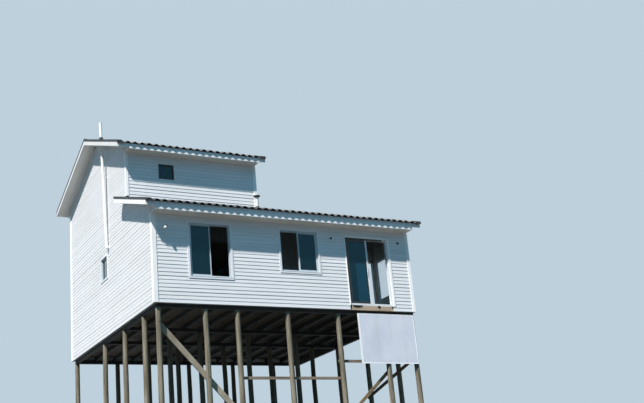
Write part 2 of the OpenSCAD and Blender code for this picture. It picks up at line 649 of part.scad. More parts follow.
// Vent pipe up the left wall, leaning out a little, with a stub into the wall and two clips
vent_y = 3650;
vent_z = 2560;
vent_x = -62;
vent_lean = 1.7;
vent_len = 4040;
vent_t = 3;
vent_clip_z = [900, 2250];
module vent_line(d) translate([vent_x, vent_y, vent_z]) rotate([0, -vent_lean, 0])
    cylinder(d = d, h = vent_len);
module vent_pipe() color("white") place() difference() {
    union() {
        vent_line(vent_d);
        translate([vent_x, vent_y, vent_z + vent_d / 2]) rotate([0, 90, 0])
            cylinder(d = vent_d - 12, h = -vent_x - fit);
        for (z = vent_clip_z) {
            translate([vent_x, vent_y, vent_z]) rotate([0, -vent_lean, 0]) translate([0, 0, z])
                cylinder(d = vent_d + 10, h = 30);
            slab([vent_x - z * sin(vent_lean), vent_y - 8, vent_z + z + 8],
                 [-fit, vent_y + 8, vent_z + z + 24]);
        }
    }
    translate([vent_x, vent_y, vent_z]) rotate([0, -vent_lean, 0]) translate([0, 0, vent_d + 20])
        cylinder(d = vent_d - 2 * vent_t, h = vent_len);
}

// Short flue beside the raised storey, with a flat cap held over its rim by three straps
flue_z = 3300;
flue_h = 560;
module flue() color("white") place() translate([flue_x, flue_y, flue_z]) {
    difference() {
        cylinder(d = flue_d, h = flue_h);
        translate([0, 0, -1]) cylinder(d = flue_d - 2 * vent_t, h = flue_h + 2);
    }
    for (a = [30, 150, 270]) rotate([0, 0, a])
        translate([flue_d / 2 - vent_t, -8, flue_h - 40]) cube([vent_t, 16, 72]);
    translate([0, 0, flue_h + 30]) cylinder(d = 200, h = 20);
}

// Sign board on two battens across the front of the right poles
sign_x = 6120;
sign_top = -90;
sign_t = 12;
module sign_board() color("lavender") place() {
    y = pole_y - pole_d / 2;
    slab([sign_x, y - 25 - sign_t, sign_top - sign_h], [sign_x + sign_w, y - 25, sign_top]);
    for (z = [sign_top - 120, sign_top - sign_h + 60])
        slab([sign_x + 20, y - 25, z], [sign_x + sign_w - 20, y, z + 60]);
}

poles_front();
poles_sides();
poles_inner();
pole_beams();
cross_beams();
floor_joists();
floor_deck();
terrace_rim();
front_sill_board();
diagonal_brace();
pole_rails();
right_braces();
front_wall_left();
front_wall_over_door();
front_wall_right();
left_wall();
right_end_wall();
wing_back_wall();
raised_front_wall();
raised_right_wall();
back_wall();
storey_floor();
corner_boards();
window_trims();
window_frames();
window_sashes();
window_glass();
door_frame();
door_fixed_leaf();
door_fixed_glass();
door_sliding_leaf();
door_sliding_glass();
low_rafters();
low_purlins();
low_eave_boards();
low_roof_sheets();
high_rafters();
high_purlins();
high_eave_boards();
high_roof_front_sheets();
high_roof_back_sheets();
ridge_cap();
vent_pipe();
flue();
sign_board();
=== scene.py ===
import math
import random

import bmesh
import bpy
from mathutils import Matrix, Vector, noise


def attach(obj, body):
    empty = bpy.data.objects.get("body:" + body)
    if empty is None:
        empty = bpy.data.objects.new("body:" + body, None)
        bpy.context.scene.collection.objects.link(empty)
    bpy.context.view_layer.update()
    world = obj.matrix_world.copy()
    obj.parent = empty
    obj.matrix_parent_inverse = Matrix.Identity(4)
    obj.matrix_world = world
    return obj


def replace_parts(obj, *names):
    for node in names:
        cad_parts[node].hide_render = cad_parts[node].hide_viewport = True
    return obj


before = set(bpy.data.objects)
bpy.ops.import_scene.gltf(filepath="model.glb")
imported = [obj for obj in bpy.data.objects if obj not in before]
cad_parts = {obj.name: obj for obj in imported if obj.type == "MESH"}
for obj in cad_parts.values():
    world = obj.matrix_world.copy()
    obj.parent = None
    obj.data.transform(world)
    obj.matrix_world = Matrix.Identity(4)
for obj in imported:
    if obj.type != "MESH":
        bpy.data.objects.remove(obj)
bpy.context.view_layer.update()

# Camera. It stands low in front of the left corner, below the floor of the house,
# and looks up at it, with a slight tilt to one side.
CAMERA_PLACE = (-13.303, -28.577, -3.507)
YAW, PITCH, ROLL = (math.radians(angle) for angle in (30.44, 19.08, -5.44))
ahead = Vector((math.sin(YAW) * math.cos(PITCH), math.cos(YAW) * math.cos(PITCH), math.sin(PITCH)))
level_right = Vector((math.cos(YAW), -math.sin(YAW), 0))
level_up = level_right.cross(ahead)
frame_right = math.cos(ROLL) * level_right + math.sin(ROLL) * level_up
frame_up = -math.sin(ROLL) * level_right + math.cos(ROLL) * level_up
camera_data = bpy.data.cameras.new("camera")
camera_data.lens = 57.87
camera_data.sensor_width = 36
camera_data.clip_end = 400
camera = bpy.data.objects.new("camera", camera_data)
camera.matrix_world = (Matrix.Translation(CAMERA_PLACE)
                       @ Matrix((frame_right, frame_up, -ahead)).transposed().to_4x4())
bpy.context.scene.collection.objects.link(camera)
bpy.context.scene.camera = camera


# Poles: debarked round timber, each a little crooked and a little thicker at the foot, with
# knots and long drying cracks. They stand in the ground, and the beams lie on their heads.
HOUSE_CORNER = Vector((-4.025, -3.7813, 3.2))
FOOT_Z, BEAM_Z = -3.2, -0.1
POLE_RADIUS = 0.075
POLE_X = (0.13, 1.45, 2.39, 3.92, 5.53, 7.07, 8.05)
POLE_Y = 0.13
ROW_Y = (2.8, 4.6, 7.49)


def colour(red, green, blue):
    """A colour as it is seen, 0 to 255 each, as the shader's linear colour."""
    return tuple(((c / 255 + 0.055) / 1.055) ** 2.4 if c > 10 else c / 255 / 12.92
                 for c in (red, green, blue)) + (1.0,)


def scaled(tone, red, green, blue):
    return (tone[0] * red, tone[1] * green, tone[2] * blue, 1.0)


class Wiring:
    """Short ways to add shader nodes to a tree and to wire them."""

    def __init__(self, tree):
        self.tree = tree

    def set(self, node, inputs):
        for socket, value in inputs.items():
            if isinstance(value, bpy.types.NodeSocket):
                self.tree.links.new(value, node.inputs[socket])
            else:
                node.inputs[socket].default_value = value

    def add(self, kind, inputs=None, **settings):
        node = self.tree.nodes.new("ShaderNode" + kind)
        for key, value in settings.items():
            setattr(node, key, value)
        self.set(node, inputs or {})
        return node

    def maths(self, operation, first, second=0.0):
        return self.add("Math", {0: first, 1: second}, operation=operation).outputs[0]

    def mix(self, factor, first, second, blend="MIX"):
        inputs = {0: factor, 6: first, 7: second}
        return self.add("Mix", inputs, data_type="RGBA", blend_type=blend).outputs[2]


class Finish(Wiring):
    """A surface finish, whose patterns follow the place on the piece."""

    def __init__(self, name, rough=0.6, specular=0.5, metallic=0.0):
        self.material = bpy.data.materials.new(name)
        self.material.use_nodes = True
        super().__init__(self.material.node_tree)
        self.shader = self.tree.nodes["Principled BSDF"]
        self.set(self.shader, {"Roughness": rough, "Specular IOR Level": specular, "Metallic": metallic})
        self.place = self.add("TexCoord").outputs["Object"]

    def stretched(self, scale):
        """The place on the piece, stretched so that a pattern follows the grain."""
        return self.add("Mapping", {"Vector": self.place, "Scale": scale}).outputs[0]

    def along(self, axis):
        return self.add("SeparateXYZ", {0: self.place}).outputs[axis]

    def noise(self, where, scale=1.0, detail=6.0, rough=0.55, distortion=0.0):
        inputs = {"Vector": where, "Scale": scale, "Detail": detail, "Roughness": rough,
                  "Distortion": distortion}
        return self.add("TexNoise", inputs).outputs["Fac"]

    def ramp(self, factor, *stops):
        """A colour ramp through (position, colour) stops."""
        made = self.add("ValToRGB", {"Fac": factor})
        band = made.color_ramp
        while len(band.elements) < len(stops):
            band.elements.new(1.0)
        for element, (position, tone) in zip(band.elements, stops):
            element.position = position
            element.color = tone
        return made.outputs["Color"]

    def mask(self, factor, start, end, last=1.0, first=0.0):
        """Goes from one share to another between two values of a pattern."""
        return self.ramp(factor, (start, (first, first, first, 1)), (end, (last, last, last, 1)))

    def paint(self, tone):
        self.set(self.shader, {"Base Color": tone})

    def roughen(self, pattern, share, least):
        rough = self.maths("ADD", self.maths("MULTIPLY", pattern, share), least)
        self.set(self.shader, {"Roughness": rough})

    def bump(self, height, depth, strength=1.0):
        made = self.add("Bump", {"Height": height, "Distance": depth, "Strength": strength})
        self.set(self.shader, {"Normal": made.outputs[0]})


def timber(name, dark, light, grain, blotch=0.9, crack=0.35, knots=0.0, relief=0.0015):
    """Timber with fibres along the direction whose grain scale is small, and broad weather stains."""
    made = Finish(name, 0.75, 0.25)
    fibres = made.noise(made.stretched(grain), 1.0, 9.0, 0.62)
    stains = made.noise(made.place, blotch, 4.0, 0.5)
    middle = tuple((a + b) / 2 for a, b in zip(dark, light))
    tone = made.ramp(fibres, (0.32, dark), (0.52, middle), (0.72, light))
    tone = made.mix(made.mask(stains, 0.35, 0.7, 0.55), tone, dark)
    cracks = made.noise(made.stretched([g * 0.45 for g in grain]), 1.3, 3.0, 0.4)
    cracks = made.maths("ABSOLUTE", made.maths("SUBTRACT", cracks, 0.5))
    cracks = made.mask(cracks, 0.0, 0.018, 0.0, 1.0)
    tone = made.mix(made.maths("MULTIPLY", cracks, crack), tone, scaled(dark, 0.25, 0.25, 0.25))
    if knots:
        cells = made.stretched([g * 0.12 + 0.9 for g in grain])
        spots = made.add("TexVoronoi", {"Vector": cells, "Scale": 1.0}).outputs["Distance"]
        spots = made.mask(spots, 0.05, 0.14, 0.0, 1.0)
        tone = made.mix(made.maths("MULTIPLY", spots, knots), tone, scaled(dark, 0.45, 0.45, 0.45))
    made.paint(tone)
    made.bump(made.maths("SUBTRACT", fibres, made.maths("MULTIPLY", cracks, 2.0 * crack)), relief, 0.8)
    return made.material


def hand_over(bm, name, finish, body="house", smooth=None):
    """Turns a shape drawn from the house's front left corner into a piece that rides on its body."""
    bmesh.ops.recalc_face_normals(bm, faces=bm.faces)
    bmesh.ops.translate(bm, verts=bm.verts, vec=HOUSE_CORNER)
    mesh = bpy.data.meshes.new(name)
    bm.to_mesh(mesh)
    bm.free()
    if smooth is not None:
        mesh.shade_smooth()
        mesh.set_sharp_from_angle(angle=math.radians(smooth))
    mesh.materials.append(finish)
    piece = bpy.data.objects.new(name, mesh)
    bpy.context.scene.collection.objects.link(piece)
    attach(piece, body)
    return piece


def edges_of(verts):
    return list({e for v in verts for e in v.link_edges})


def faces_of(verts):
    return list({f for v in verts for f in v.link_faces})


def only(kind, geom):
    return [g for g in geom if isinstance(g, kind)]


def eased(bm, edges, offset, segments=1):
    """Takes the sharpness off edges, and gives the corner points that this makes."""
    return bmesh.ops.bevel(bm, geom=edges, offset=offset, segments=segments, profile=0.5,
                           affect="EDGES", material=-1)["verts"]


def ring_stack(bm, sides, count, radius=1.0):
    """The rings of an open tube, all in one place, to be spread along a pole or a bent arm."""
    rings = [bmesh.ops.create_circle(bm, segments=sides, radius=radius)["verts"]]
    edges = edges_of(rings[0])
    for _ in range(count):
        grown = bmesh.ops.extrude_edge_only(bm, edges=edges)["geom"]
        edges = [e for e in only(bmesh.types.BMEdge, grown) if all(v in grown for v in e.verts)]
        rings.append(only(bmesh.types.BMVert, grown))
    return rings


def round_pole(bm, x, y, seed, levels=22):
    """One pole from its foot up: slightly bent, slightly tapered, with lumps at its knots."""
    draw = random.Random(seed)
    lean = draw.uniform(0, 6.28)
    bend = draw.uniform(0.004, 0.011)
    lumps = [(draw.uniform(0, 6.28), draw.uniform(FOOT_Z + 0.3, BEAM_Z - 0.2), draw.uniform(0.003, 0.008))
             for _ in range(6)]
    rings = ring_stack(bm, 18, levels)
    for level, ring in enumerate(rings):
        share = level / levels
        z = FOOT_Z + (BEAM_Z - FOOT_Z) * share
        radius = POLE_RADIUS * (1.03 - 0.09 * share)
        away = bend * math.sin(math.pi * share) + 0.3 * bend * math.sin(3.7 * math.pi * share)
        centre = Vector((x + away * math.cos(lean), y + away * math.sin(lean), z))
        for v in ring:
            angle = math.atan2(v.co.y, v.co.x)
            spot = (2.2 * math.cos(angle) + seed, 2.2 * math.sin(angle), 1.6 * z)
            out = radius * (1 + 0.035 * noise.noise(spot))
            for at, height, size in lumps:
                turn = (angle - at + math.pi) % (2 * math.pi) - math.pi
                out += size * math.exp(-(turn / 0.4) ** 2 - ((z - height) / 0.09) ** 2)
            v.co = centre + Vector((out * math.cos(angle), out * math.sin(angle), 0))
    for ring in (rings[0], rings[-1]):
        rim = [e for e in bm.edges if e.is_boundary and e.verts[0] in ring and e.verts[1] in ring]
        cap = bmesh.ops.contextual_create(bm, geom=rim)["faces"]
        if ring is rings[-1]:
            eased(bm, list(cap[0].edges), 0.006, 2)


pole_finish = timber("weathered_pole", colour(84, 78, 64), colour(162, 156, 139), (26, 26, 1.1),
                     blotch=1.1, crack=0.5, knots=0.7, relief=0.004)
# The poles under the house get a darker copy of the same timber: painted shade, for the shade they stand in.
shade_painted_pole_finish = timber("shaded_pole", colour(70, 66, 56), colour(132, 126, 110), (26, 26, 1.1),
                           blotch=1.1, crack=0.5, knots=0.7, relief=0.004)
rows = {"poles_front": [(x, POLE_Y) for x in POLE_X],
        "poles_sides": [(POLE_X[0], 1.18), (POLE_X[6], 1.10)] + [(x, y) for y in ROW_Y
                                                                 for x in (POLE_X[0], POLE_X[6])],
        "poles_inner": [(x, y) for y in ROW_Y for x in POLE_X[1:6]]}
seed = 1
for node, places in rows.items():
    bm = bmesh.new()
    for x, y in places:
        round_pole(bm, x, y, seed)
        seed += 1
    finish = shade_painted_pole_finish if node == "poles_inner" else pole_finish
    poles = hand_over(bm, node.replace("poles", "round_poles"), finish, smooth=40)
    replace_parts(poles, node)


# Beams and joists: rough sawn timber, laid on the poles and nailed, coloured near black as painted shade for
# the dark under the house.
def refinish(node, finish):
    """Gives a carried-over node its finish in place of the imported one."""
    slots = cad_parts[node].data.materials
    slots.clear()
    slots.append(finish)


# near-black timber: painted shade for the deep shade under the house
shade_dark_beam_finish = timber("shade_dark_beam", colour(19, 20, 20), colour(42, 43, 42), (1.2, 22, 22),
                     blotch=1.3, crack=0.3)
refinish("pole_beams", shade_dark_beam_finish)
refinish("cross_beams", shade_dark_beam_finish)
refinish("floor_joists", timber("shade_dark_joist", colour(21, 22, 21), colour(46, 47, 44), (22, 1.2, 22),
                                blotch=1.3, crack=0.3))


# Floor: sawn boards nailed across the joists with a small gap, indoors and out on the terrace,
# in lengths that meet on a joist, with their undersides darkened as painted shade. The storey floor is paler,
# dry board.
DECK_LOW, DECK_TOP, FLOOR_BOARD, FLOOR_GAP, SHORTEST = 0.12, 0.14, 0.118, 0.004, 0.4
HOUSE_L, HOUSE_D, WING_D, TOWER_W, WALL = 8.12, 7.6, 1.93, 4.12, 0.1
JOIST_STEP = (HOUSE_L - 2 * WALL - 0.05) / 13


def give_tone(bm, verts, tone):
    layer = bm.faces.layers.float.get("tone") or bm.faces.layers.float.new("tone")
    for face in faces_of(verts):
        face[layer] = tone


def board(bm, low, high, ease=0.002, tone=0.0):
    """A sawn board between two corners, with its edges eased, and its own tone."""
    made = bmesh.ops.create_cube(bm, size=1)["verts"]
    bmesh.ops.scale(bm, verts=made, vec=[b - a for a, b in zip(low, high)])
    bmesh.ops.translate(bm, verts=made, vec=[(a + b) / 2 for a, b in zip(low, high)])
    give_tone(bm, made, tone)
    eased(bm, edges_of(made), ease)


def toned(made, tone, spread):
    """Varies a finish from board to board by the tone that each board was given."""
    share = made.add("Attribute", attribute_name="tone").outputs["Fac"]
    factor = made.maths("ADD", made.maths("MULTIPLY", share, spread), 1.0 - spread / 2)
    grey = made.add("CombineColor", {"Red": factor, "Green": factor, "Blue": factor}).outputs[0]
    return made.mix(1.0, tone, grey, "MULTIPLY")


def bare_board(name, dark, light, grain, spread=0.3, blotch=1.5, underside_shade=0.0):
    """Unpainted board with long fibres, a few darker stains, and a tone of its own; its underside can be
    darkened as painted shade."""
    made = Finish(name, 0.75, 0.25)
    fibres = made.noise(made.stretched(grain), 1.0, 8.0, 0.6)
    stains = made.noise(made.place, blotch, 4.0, 0.55)
    tone = made.ramp(fibres, (0.3, dark), (0.7, light))
    tone = made.mix(made.mask(stains, 0.45, 0.75, 0.5), tone, dark)
    # painted shade: faces turned down are darkened nearly to black
    if underside_shade:
        facing = made.add("SeparateXYZ", {0: made.add("NewGeometry").outputs["True Normal"]}).outputs["Z"]
        below = made.maths("MULTIPLY", made.maths("LESS_THAN", facing, -0.5), underside_shade)
        tone = made.mix(below, tone, (0.004, 0.004, 0.003, 1))
    made.paint(toned(made, tone, spread))
    made.bump(fibres, 0.001, 0.7)
    return made.material


draw = random.Random(11)
bm = bmesh.new()
course = 0
while WALL + course * FLOOR_BOARD < HOUSE_D - 0.01:
    y0 = WALL + course * FLOOR_BOARD
    y1 = min(y0 + FLOOR_BOARD - FLOOR_GAP, HOUSE_D)
    start = WALL if y0 < HOUSE_D - WALL - 0.02 else TOWER_W - WALL
    end = HOUSE_L - WALL if y0 < WING_D - 0.02 else HOUSE_L
    if y1 > HOUSE_D - WALL and start == WALL:
        y1 = HOUSE_D - WALL
    joints = [WALL + 0.025 + JOIST_STEP * ((2 + 3 * course) % 5 + k) for k in (1, 7)]
    stops = [start] + [j for j in joints if start + SHORTEST < j < end - SHORTEST] + [end]
    for a, b in zip(stops, stops[1:]):
        board(bm, (a + 0.001, y0, DECK_LOW), (b - 0.001, y1, DECK_TOP), 0.0025, draw.random())
    course += 1
deck = hand_over(bm, "floor_boards", bare_board("floor_board", colour(104, 92, 76), colour(164, 150, 126),
                                                (1.1, 24, 24), 0.40, underside_shade=0.78))
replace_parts(deck, "floor_deck")
refinish("storey_floor", bare_board("storey_boards", colour(146, 138, 122), colour(190, 180, 160),
                                    (1.1, 24, 24)))


# White boards: planed softwood with two coats of white paint, nailed over the joints of the
# cladding at the corners, round the windows and along the terrace edge.
def painted(name, tone, grain, rough=0.42, dirt=0.10, relief=0.0006, spread=0.0):
    """White paint on wood: nearly even, with the fibres just showing, and a little grime."""
    made = Finish(name, rough, 0.4)
    fibres = made.noise(made.stretched(grain), 1.0, 6.0, 0.6)
    grime = made.noise(made.stretched((0.7, 0.7, 1.6)), 1.0, 5.0, 0.62, 0.4)
    soiled = scaled(tone, 0.80, 0.79, 0.74)
    shade = made.mix(made.mask(grime, 0.42, 0.78, dirt * 6), tone, soiled)
    shade = made.mix(made.mask(fibres, 0.25, 0.5, 0.0, 0.10), shade, soiled)
    made.paint(toned(made, shade, spread) if spread else shade)
    made.roughen(grime, 0.18, rough - 0.09)
    made.bump(fibres, relief, 0.6)
    return made.material


trim_finish = painted("white_board_paint", colour(251, 252, 254), (30, 30, 2.2))
refinish("terrace_rim", trim_finish)
refinish("window_trims", painted("window_casing_paint", colour(230, 231, 237), (30, 30, 2.2)))

LOW_SOFFIT, HIGH_SOFFIT = 2.45, 4.955
HAIR = 0.0003  # kept free between a board and what it butts against
BOARD_T, RAISED_FOOT = 0.024, 3.617
CORNER, END_CORNER, RAISED_LEFT, RAISED_RIGHT = 0.1, 0.082, 0.06, 0.08
draw = random.Random(3)
bm = bmesh.new()
for x, y, right, back, foot, soffit, wide in (
        (0, 0, False, False, 0, LOW_SOFFIT, CORNER),
        (HOUSE_L, 0, True, False, 0, LOW_SOFFIT, END_CORNER),
        (0, HOUSE_D, False, True, 0, HIGH_SOFFIT, CORNER),
        (TOWER_W, HOUSE_D, True, True, DECK_TOP + HAIR, HIGH_SOFFIT, CORNER),
        (0, WING_D, False, False, RAISED_FOOT, HIGH_SOFFIT, RAISED_LEFT),
        (TOWER_W, WING_D, True, False, RAISED_FOOT, HIGH_SOFFIT, RAISED_RIGHT)):
    proud_x = (x, x + BOARD_T) if right else (x - BOARD_T, x)
    proud_y = (y, y + BOARD_T) if back else (y - BOARD_T, y)
    run_x = (x - wide, x + BOARD_T) if right else (x - BOARD_T, x + wide)
    run_y = (y - wide, y - HAIR) if back else (y + HAIR, y + wide)
    for (x0, x1), (y0, y1) in ((run_x, proud_y), (proud_x, run_y)):
        board(bm, (x0, y0, foot), (x1, y1, soffit - HAIR), 0.003, draw.random())
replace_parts(hand_over(bm, "corner_posts", trim_finish), "corner_boards")


# Sill board: a bare board under the sliding door, where the cladding is still missing, with
# torn ends of the wall's black building paper hanging over its edges.
DOOR_X, DOOR_W, DOOR_TOP = 5.93, 1.45, 2.18
refinish("front_sill_board", bare_board("sill_timber", colour(142, 124, 104), colour(210, 190, 168),
                                        (1.3, 26, 26), 0.0, blotch=2.6))


def mottled(name, grain, detail, first, second, rough, specular=0.5, metallic=0.0, uneven=0.55):
    """Two (position, colour) tones in patches, as small as the grain says."""
    made = Finish(name, rough, specular, metallic)
    made.patches = made.noise(made.stretched(grain), 1.0, detail, uneven)
    made.paint(made.ramp(made.patches, first, second))
    return made


def thicken(bm, faces, thickness):
    """Makes a thin closed shell of open faces."""
    bmesh.ops.recalc_face_normals(bm, faces=faces)
    bmesh.ops.solidify(bm, geom=faces, thickness=thickness)


paper_finish = mottled("building_paper", (35, 35, 35), 6.0, (0.3, colour(15, 15, 16)),
                       (0.7, colour(38, 37, 36)), 0.85, 0.2)
paper_finish.bump(paper_finish.noise(paper_finish.place, 90.0, 4.0), 0.001)
bm = bmesh.new()
for left, right, drop in ((5.902, 5.945, 0.12), (5.985, 6.31, 0.062), (6.825, 6.93, 0.056),
                          (7.315, 7.379, 0.05)):
    steps = max(8, int((right - left) / 0.010))
    patch = bmesh.ops.create_grid(bm, x_segments=steps, y_segments=3, size=0.5)["verts"]
    for v in patch:
        across, down = v.co.x + 0.5, 0.5 - v.co.y
        x = left + (right - left) * across
        tear = drop * (1 + 0.55 * noise.noise((x * 14, left, 0)) + 0.3 * noise.noise((x * 70, left, 3)))
        fade = min(1.0, 14 * across * (1 - across) + 0.15)
        curl = 0.006 * down * abs(noise.noise((x * 12, 5, down))) + 0.002 * down
        v.co = Vector((x, -0.004 - curl, DECK_TOP + 0.002 - down * tear * fade))
thicken(bm, bm.faces, 0.0012)
hand_over(bm, "torn_paper", paper_finish.material, smooth=50)


# Braces: one long sawn board slants behind the front poles, two level rails and two short
# braces at the right end stiffen the rest. Each is bolted or nailed to the poles it crosses.
refinish("diagonal_brace", timber("brace_board", colour(124, 115, 98), colour(206, 198, 180),
                                  (1.4, 20, 1.4), crack=0.4, relief=0.003))
refinish("pole_rails", timber("rail_board", colour(98, 88, 76), colour(166, 152, 132),
                              (1.1, 24, 24), crack=0.3, relief=0.003))
refinish("right_braces", timber("right_brace_board", colour(92, 80, 62), colour(150, 132, 102),
                                (1.6, 1.6, 20), crack=0.3, relief=0.003))


def turned(bm, place, *parts):
    """Round parts on one axis, each (sides, foot radius, head radius, length, lift of its middle)."""
    made = []
    for sides, foot, head, length, lift in parts:
        part = bmesh.ops.create_cone(bm, cap_ends=True, segments=sides, radius1=foot, radius2=head,
                                     depth=length)["verts"]
        bmesh.ops.translate(bm, verts=part, vec=(0, 0, lift))
        made += part
    bmesh.ops.transform(bm, matrix=place, verts=made)


def facing_front(x, y, z):
    """Puts a part drawn standing up at a place, with its head out of the front wall."""
    return Matrix.Translation((x, y, z)) @ Matrix.Rotation(math.radians(90), 4, "X")


WASHER, NUT = (14, 0.024, 0.022, 0.004, 0), (6, 0.013, 0.013, 0.012, 0.008)
BOLT_END = (8, 0.006, 0.005, 0.03, 0.012)
steel = mottled("galvanised_bolt", (60, 60, 60), 4.0, (0.35, colour(96, 84, 72)),
                (0.7, colour(150, 148, 144)), 0.5, metallic=0.8).material
bm = bmesh.new()
for pole, z in ((1, -1.905), (2, -2.86), (3, -1.93), (4, -1.93), (4, -1.44), (5, -1.44), (0, -0.47)):
    turned(bm, facing_front(POLE_X[pole], POLE_Y - POLE_RADIUS - 0.001, z), WASHER, NUT, BOLT_END)
hand_over(bm, "brace_bolts", steel, smooth=30)


# Walls: a timber frame, closed inside with pale wall board. What shows of the carried-over walls
# is their inside and the reveals of the openings.
lining = bare_board("inner_lining", colour(160, 173, 178), colour(192, 203, 206), (20, 20, 1.2), 0.0)
for node in ("front_wall_left", "front_wall_over_door", "front_wall_right", "left_wall", "right_end_wall",
             "wing_back_wall", "raised_front_wall", "raised_right_wall", "back_wall"):
    refinish(node, lining)


# Cladding: lapped boards, each nailed over the top of the one below, tapered in section with
# a rounded lower edge, butted end to end here and there, painted white on the wall.
LAP, NOSE, LEFT_NOSE, TUCK = 0.105, 0.0150, 0.0105, 0.006
LOW_PITCH, HIGH_PITCH = math.radians(19.8), math.radians(22.3)
LOW_TAN, HIGH_TAN = math.tan(LOW_PITCH), math.tan(HIGH_PITCH)
LOW_EAVE, HIGH_EAVE = (-0.44, 2.645), (1.53, 5.091)
RIDGE_Y, GABLE_TOP, LOW_BACK_TOP = 4.765, 6.29, 3.268
VERGE, TRIM = 0.13, 0.06
STOCK_LENGTH, OFFCUT, END_GAP, SLIVER = 3.2, 0.35, 0.0008, 0.004
CASING_LEFT, CASING_RIGHT, CASING_TOP = 0.03, 0.075, 0.045


def low_roof(y):
    """Level of the underside of the lean-to's sheets at a depth behind the front wall."""
    return LOW_EAVE[1] + LOW_TAN * (y - LOW_EAVE[0])


def high_roof(y):
    """The same for the gable roof, over both its slopes."""
    return HIGH_EAVE[1] + HIGH_TAN * ((y if y < RIDGE_Y else 2 * RIDGE_Y - y) - HIGH_EAVE[0])


def wall(x, y, degrees):
    """Where a wall starts, at its left end as seen from outside, and which way it runs."""
    return Matrix.Translation((x, y, 0)) @ Matrix.Rotation(math.radians(degrees), 4, "Z")


FRONT, RAISED_FRONT = wall(0, 0, 0), wall(0, WING_D, 0)
LEFT, RIGHT_END, RAISED_RIGHT_WALL = wall(0, HOUSE_D, -90), wall(HOUSE_L, 0, 90), wall(TOWER_W, 0, 90)
LOW_BACK, BACK = wall(HOUSE_L, WING_D, 180), wall(TOWER_W, HOUSE_D, 180)
FRONT_WINDOWS = ((1.04, 2.24, 0.76, 2.26), (3.79, 4.99, 1.05, 2.25))
LEFT_WINDOW = (HOUSE_D - 4.38, HOUSE_D - 3.82, 1.75, 2.40)
END_WINDOW = (0.56, 1.74, 0.78, 2.03)
BACK_WINDOW = (TOWER_W - 2.66, TOWER_W - 1.46, 1.05, 2.25)
RAISED_WINDOW, RAISED_BACK_WINDOW = (0.985, 1.465, 4.24, 4.71), (TOWER_W - 2.30, TOWER_W - 1.82, 4.24, 4.71)


def cased(window):
    """A window's opening (left, right, under, over) with the boards round it."""
    left, right, under, over = window
    return left - TRIM, right + TRIM, under - TRIM, over + TRIM


def drawn(bm, outline, start, end, tone=0.0, turn=None, ease=0.0):
    """A bar whose section is drawn as (y, z) points and carried along x, with its own tone."""
    face = bm.faces.new([bm.verts.new((start, y, z)) for y, z in outline])
    far = only(bmesh.types.BMVert, bmesh.ops.extrude_face_region(bm, geom=[face])["geom"])
    bmesh.ops.translate(bm, verts=far, vec=(end - start, 0, 0))
    verts = far + list(face.verts)
    give_tone(bm, verts, tone)
    if ease:
        bmesh.ops.recalc_face_normals(bm, faces=faces_of(verts))
        verts = eased(bm, edges_of(verts), ease)
    if turn:
        bmesh.ops.transform(bm, matrix=turn, verts=verts)
    return verts


def lay_boards(bm, place, run, bottom, top, holes=(), slopes=(), seed=1, nose=NOSE):
    """Lapped courses over one wall, cut round the holes (left, right, under, over) and along the
    slopes (up to this height, point, direction)."""
    draw = random.Random(seed)
    laid = []
    for course in range(math.ceil((top - bottom - SLIVER) / LAP)):
        foot = bottom + course * LAP
        head = min(foot + LAP, top)
        levels = sorted({foot, head, *(z for hole in holes for z in hole[2:]
                                       if foot + SLIVER < z < head - SLIVER)})
        first_joint = draw.uniform(0.4, 3.0)
        proud = draw.uniform(-0.0012, 0.0012)
        for low, high in zip(levels, levels[1:]):
            spans = [run]
            for left, right, under, over in holes:
                if under < (low + high) / 2 < over:
                    spans = [part for a, b in spans for part in ((a, min(b, left)), (max(a, right), b))
                             if part[1] - part[0] > SLIVER]
            deep, shallow = (nose + proud - (nose - TUCK) * (z - foot) / LAP for z in (low, high))
            ease = 0.004 if low == foot else 0.0005
            outline = [(0, low), (ease - deep, low), (0.3 * ease - deep, low + 0.3 * ease),
                       (-deep, low + ease), (-shallow, high), (0, high)]
            for a, b in spans:
                joints = [first_joint + STOCK_LENGTH * k for k in range(4)]
                stops = [a] + [j for j in joints if a + OFFCUT < j < b - OFFCUT] + [b]
                for left, right in zip(stops, stops[1:]):
                    piece = drawn(bm, outline, left + END_GAP, right - END_GAP, draw.random(), place)
                    laid.append((high, piece))
    for limit, point, direction in slopes:
        verts = {v for high, piece in laid if high <= limit + 0.001 for v in piece if v.is_valid}
        geom = list(verts) + edges_of(verts) + faces_of(verts)
        cut = bmesh.ops.bisect_plane(bm, geom=geom, dist=1e-5, plane_co=point, plane_no=direction,
                                     clear_outer=True)["geom_cut"]
        bmesh.ops.holes_fill(bm, edges=only(bmesh.types.BMEdge, cut), sides=0)


siding_finish = painted("white_siding_paint", colour(226, 228, 232), (2.2, 2.2, 55), 0.45, 0.07, 0.0007, 0.08)
# The left wall, which takes the main lamp more squarely, gets a greyer copy of the siding paint: painted
# shade against its stronger light.
left_siding_finish = painted("left_siding_painted_shade", colour(217, 218, 221), (2.2, 2.2, 55), 0.45, 0.07,
                             0.0007, 0.06)
ANY = 99  # past the end or the top of every wall
END_SOFFIT = low_roof(WING_D) - VERGE
low_slope = (END_SOFFIT, (0, 0, low_roof(0) - VERGE), (0, -LOW_TAN, 1))
gable_peak = (0, RIDGE_Y, high_roof(RIDGE_Y) - VERGE)
gable_slopes = [(ANY, gable_peak, (0, tilt, 1)) for tilt in (-HIGH_TAN, HIGH_TAN)]
UPPER_FOOT = RAISED_FOOT - 0.002  # just under the feet of the raised storey's corner boards

bm = bmesh.new()
lay_boards(bm, FRONT, (CORNER, HOUSE_L - END_CORNER), 0, LOW_SOFFIT, seed=21, holes=[
    *(cased(window) for window in FRONT_WINDOWS),
    (DOOR_X - CASING_LEFT, DOOR_X + DOOR_W + CASING_RIGHT, DECK_TOP, DOOR_TOP + CASING_TOP),
    (DOOR_X - CASING_LEFT, DOOR_X + DOOR_W, -1, DECK_TOP)])
hand_over(bm, "front_cladding", siding_finish)

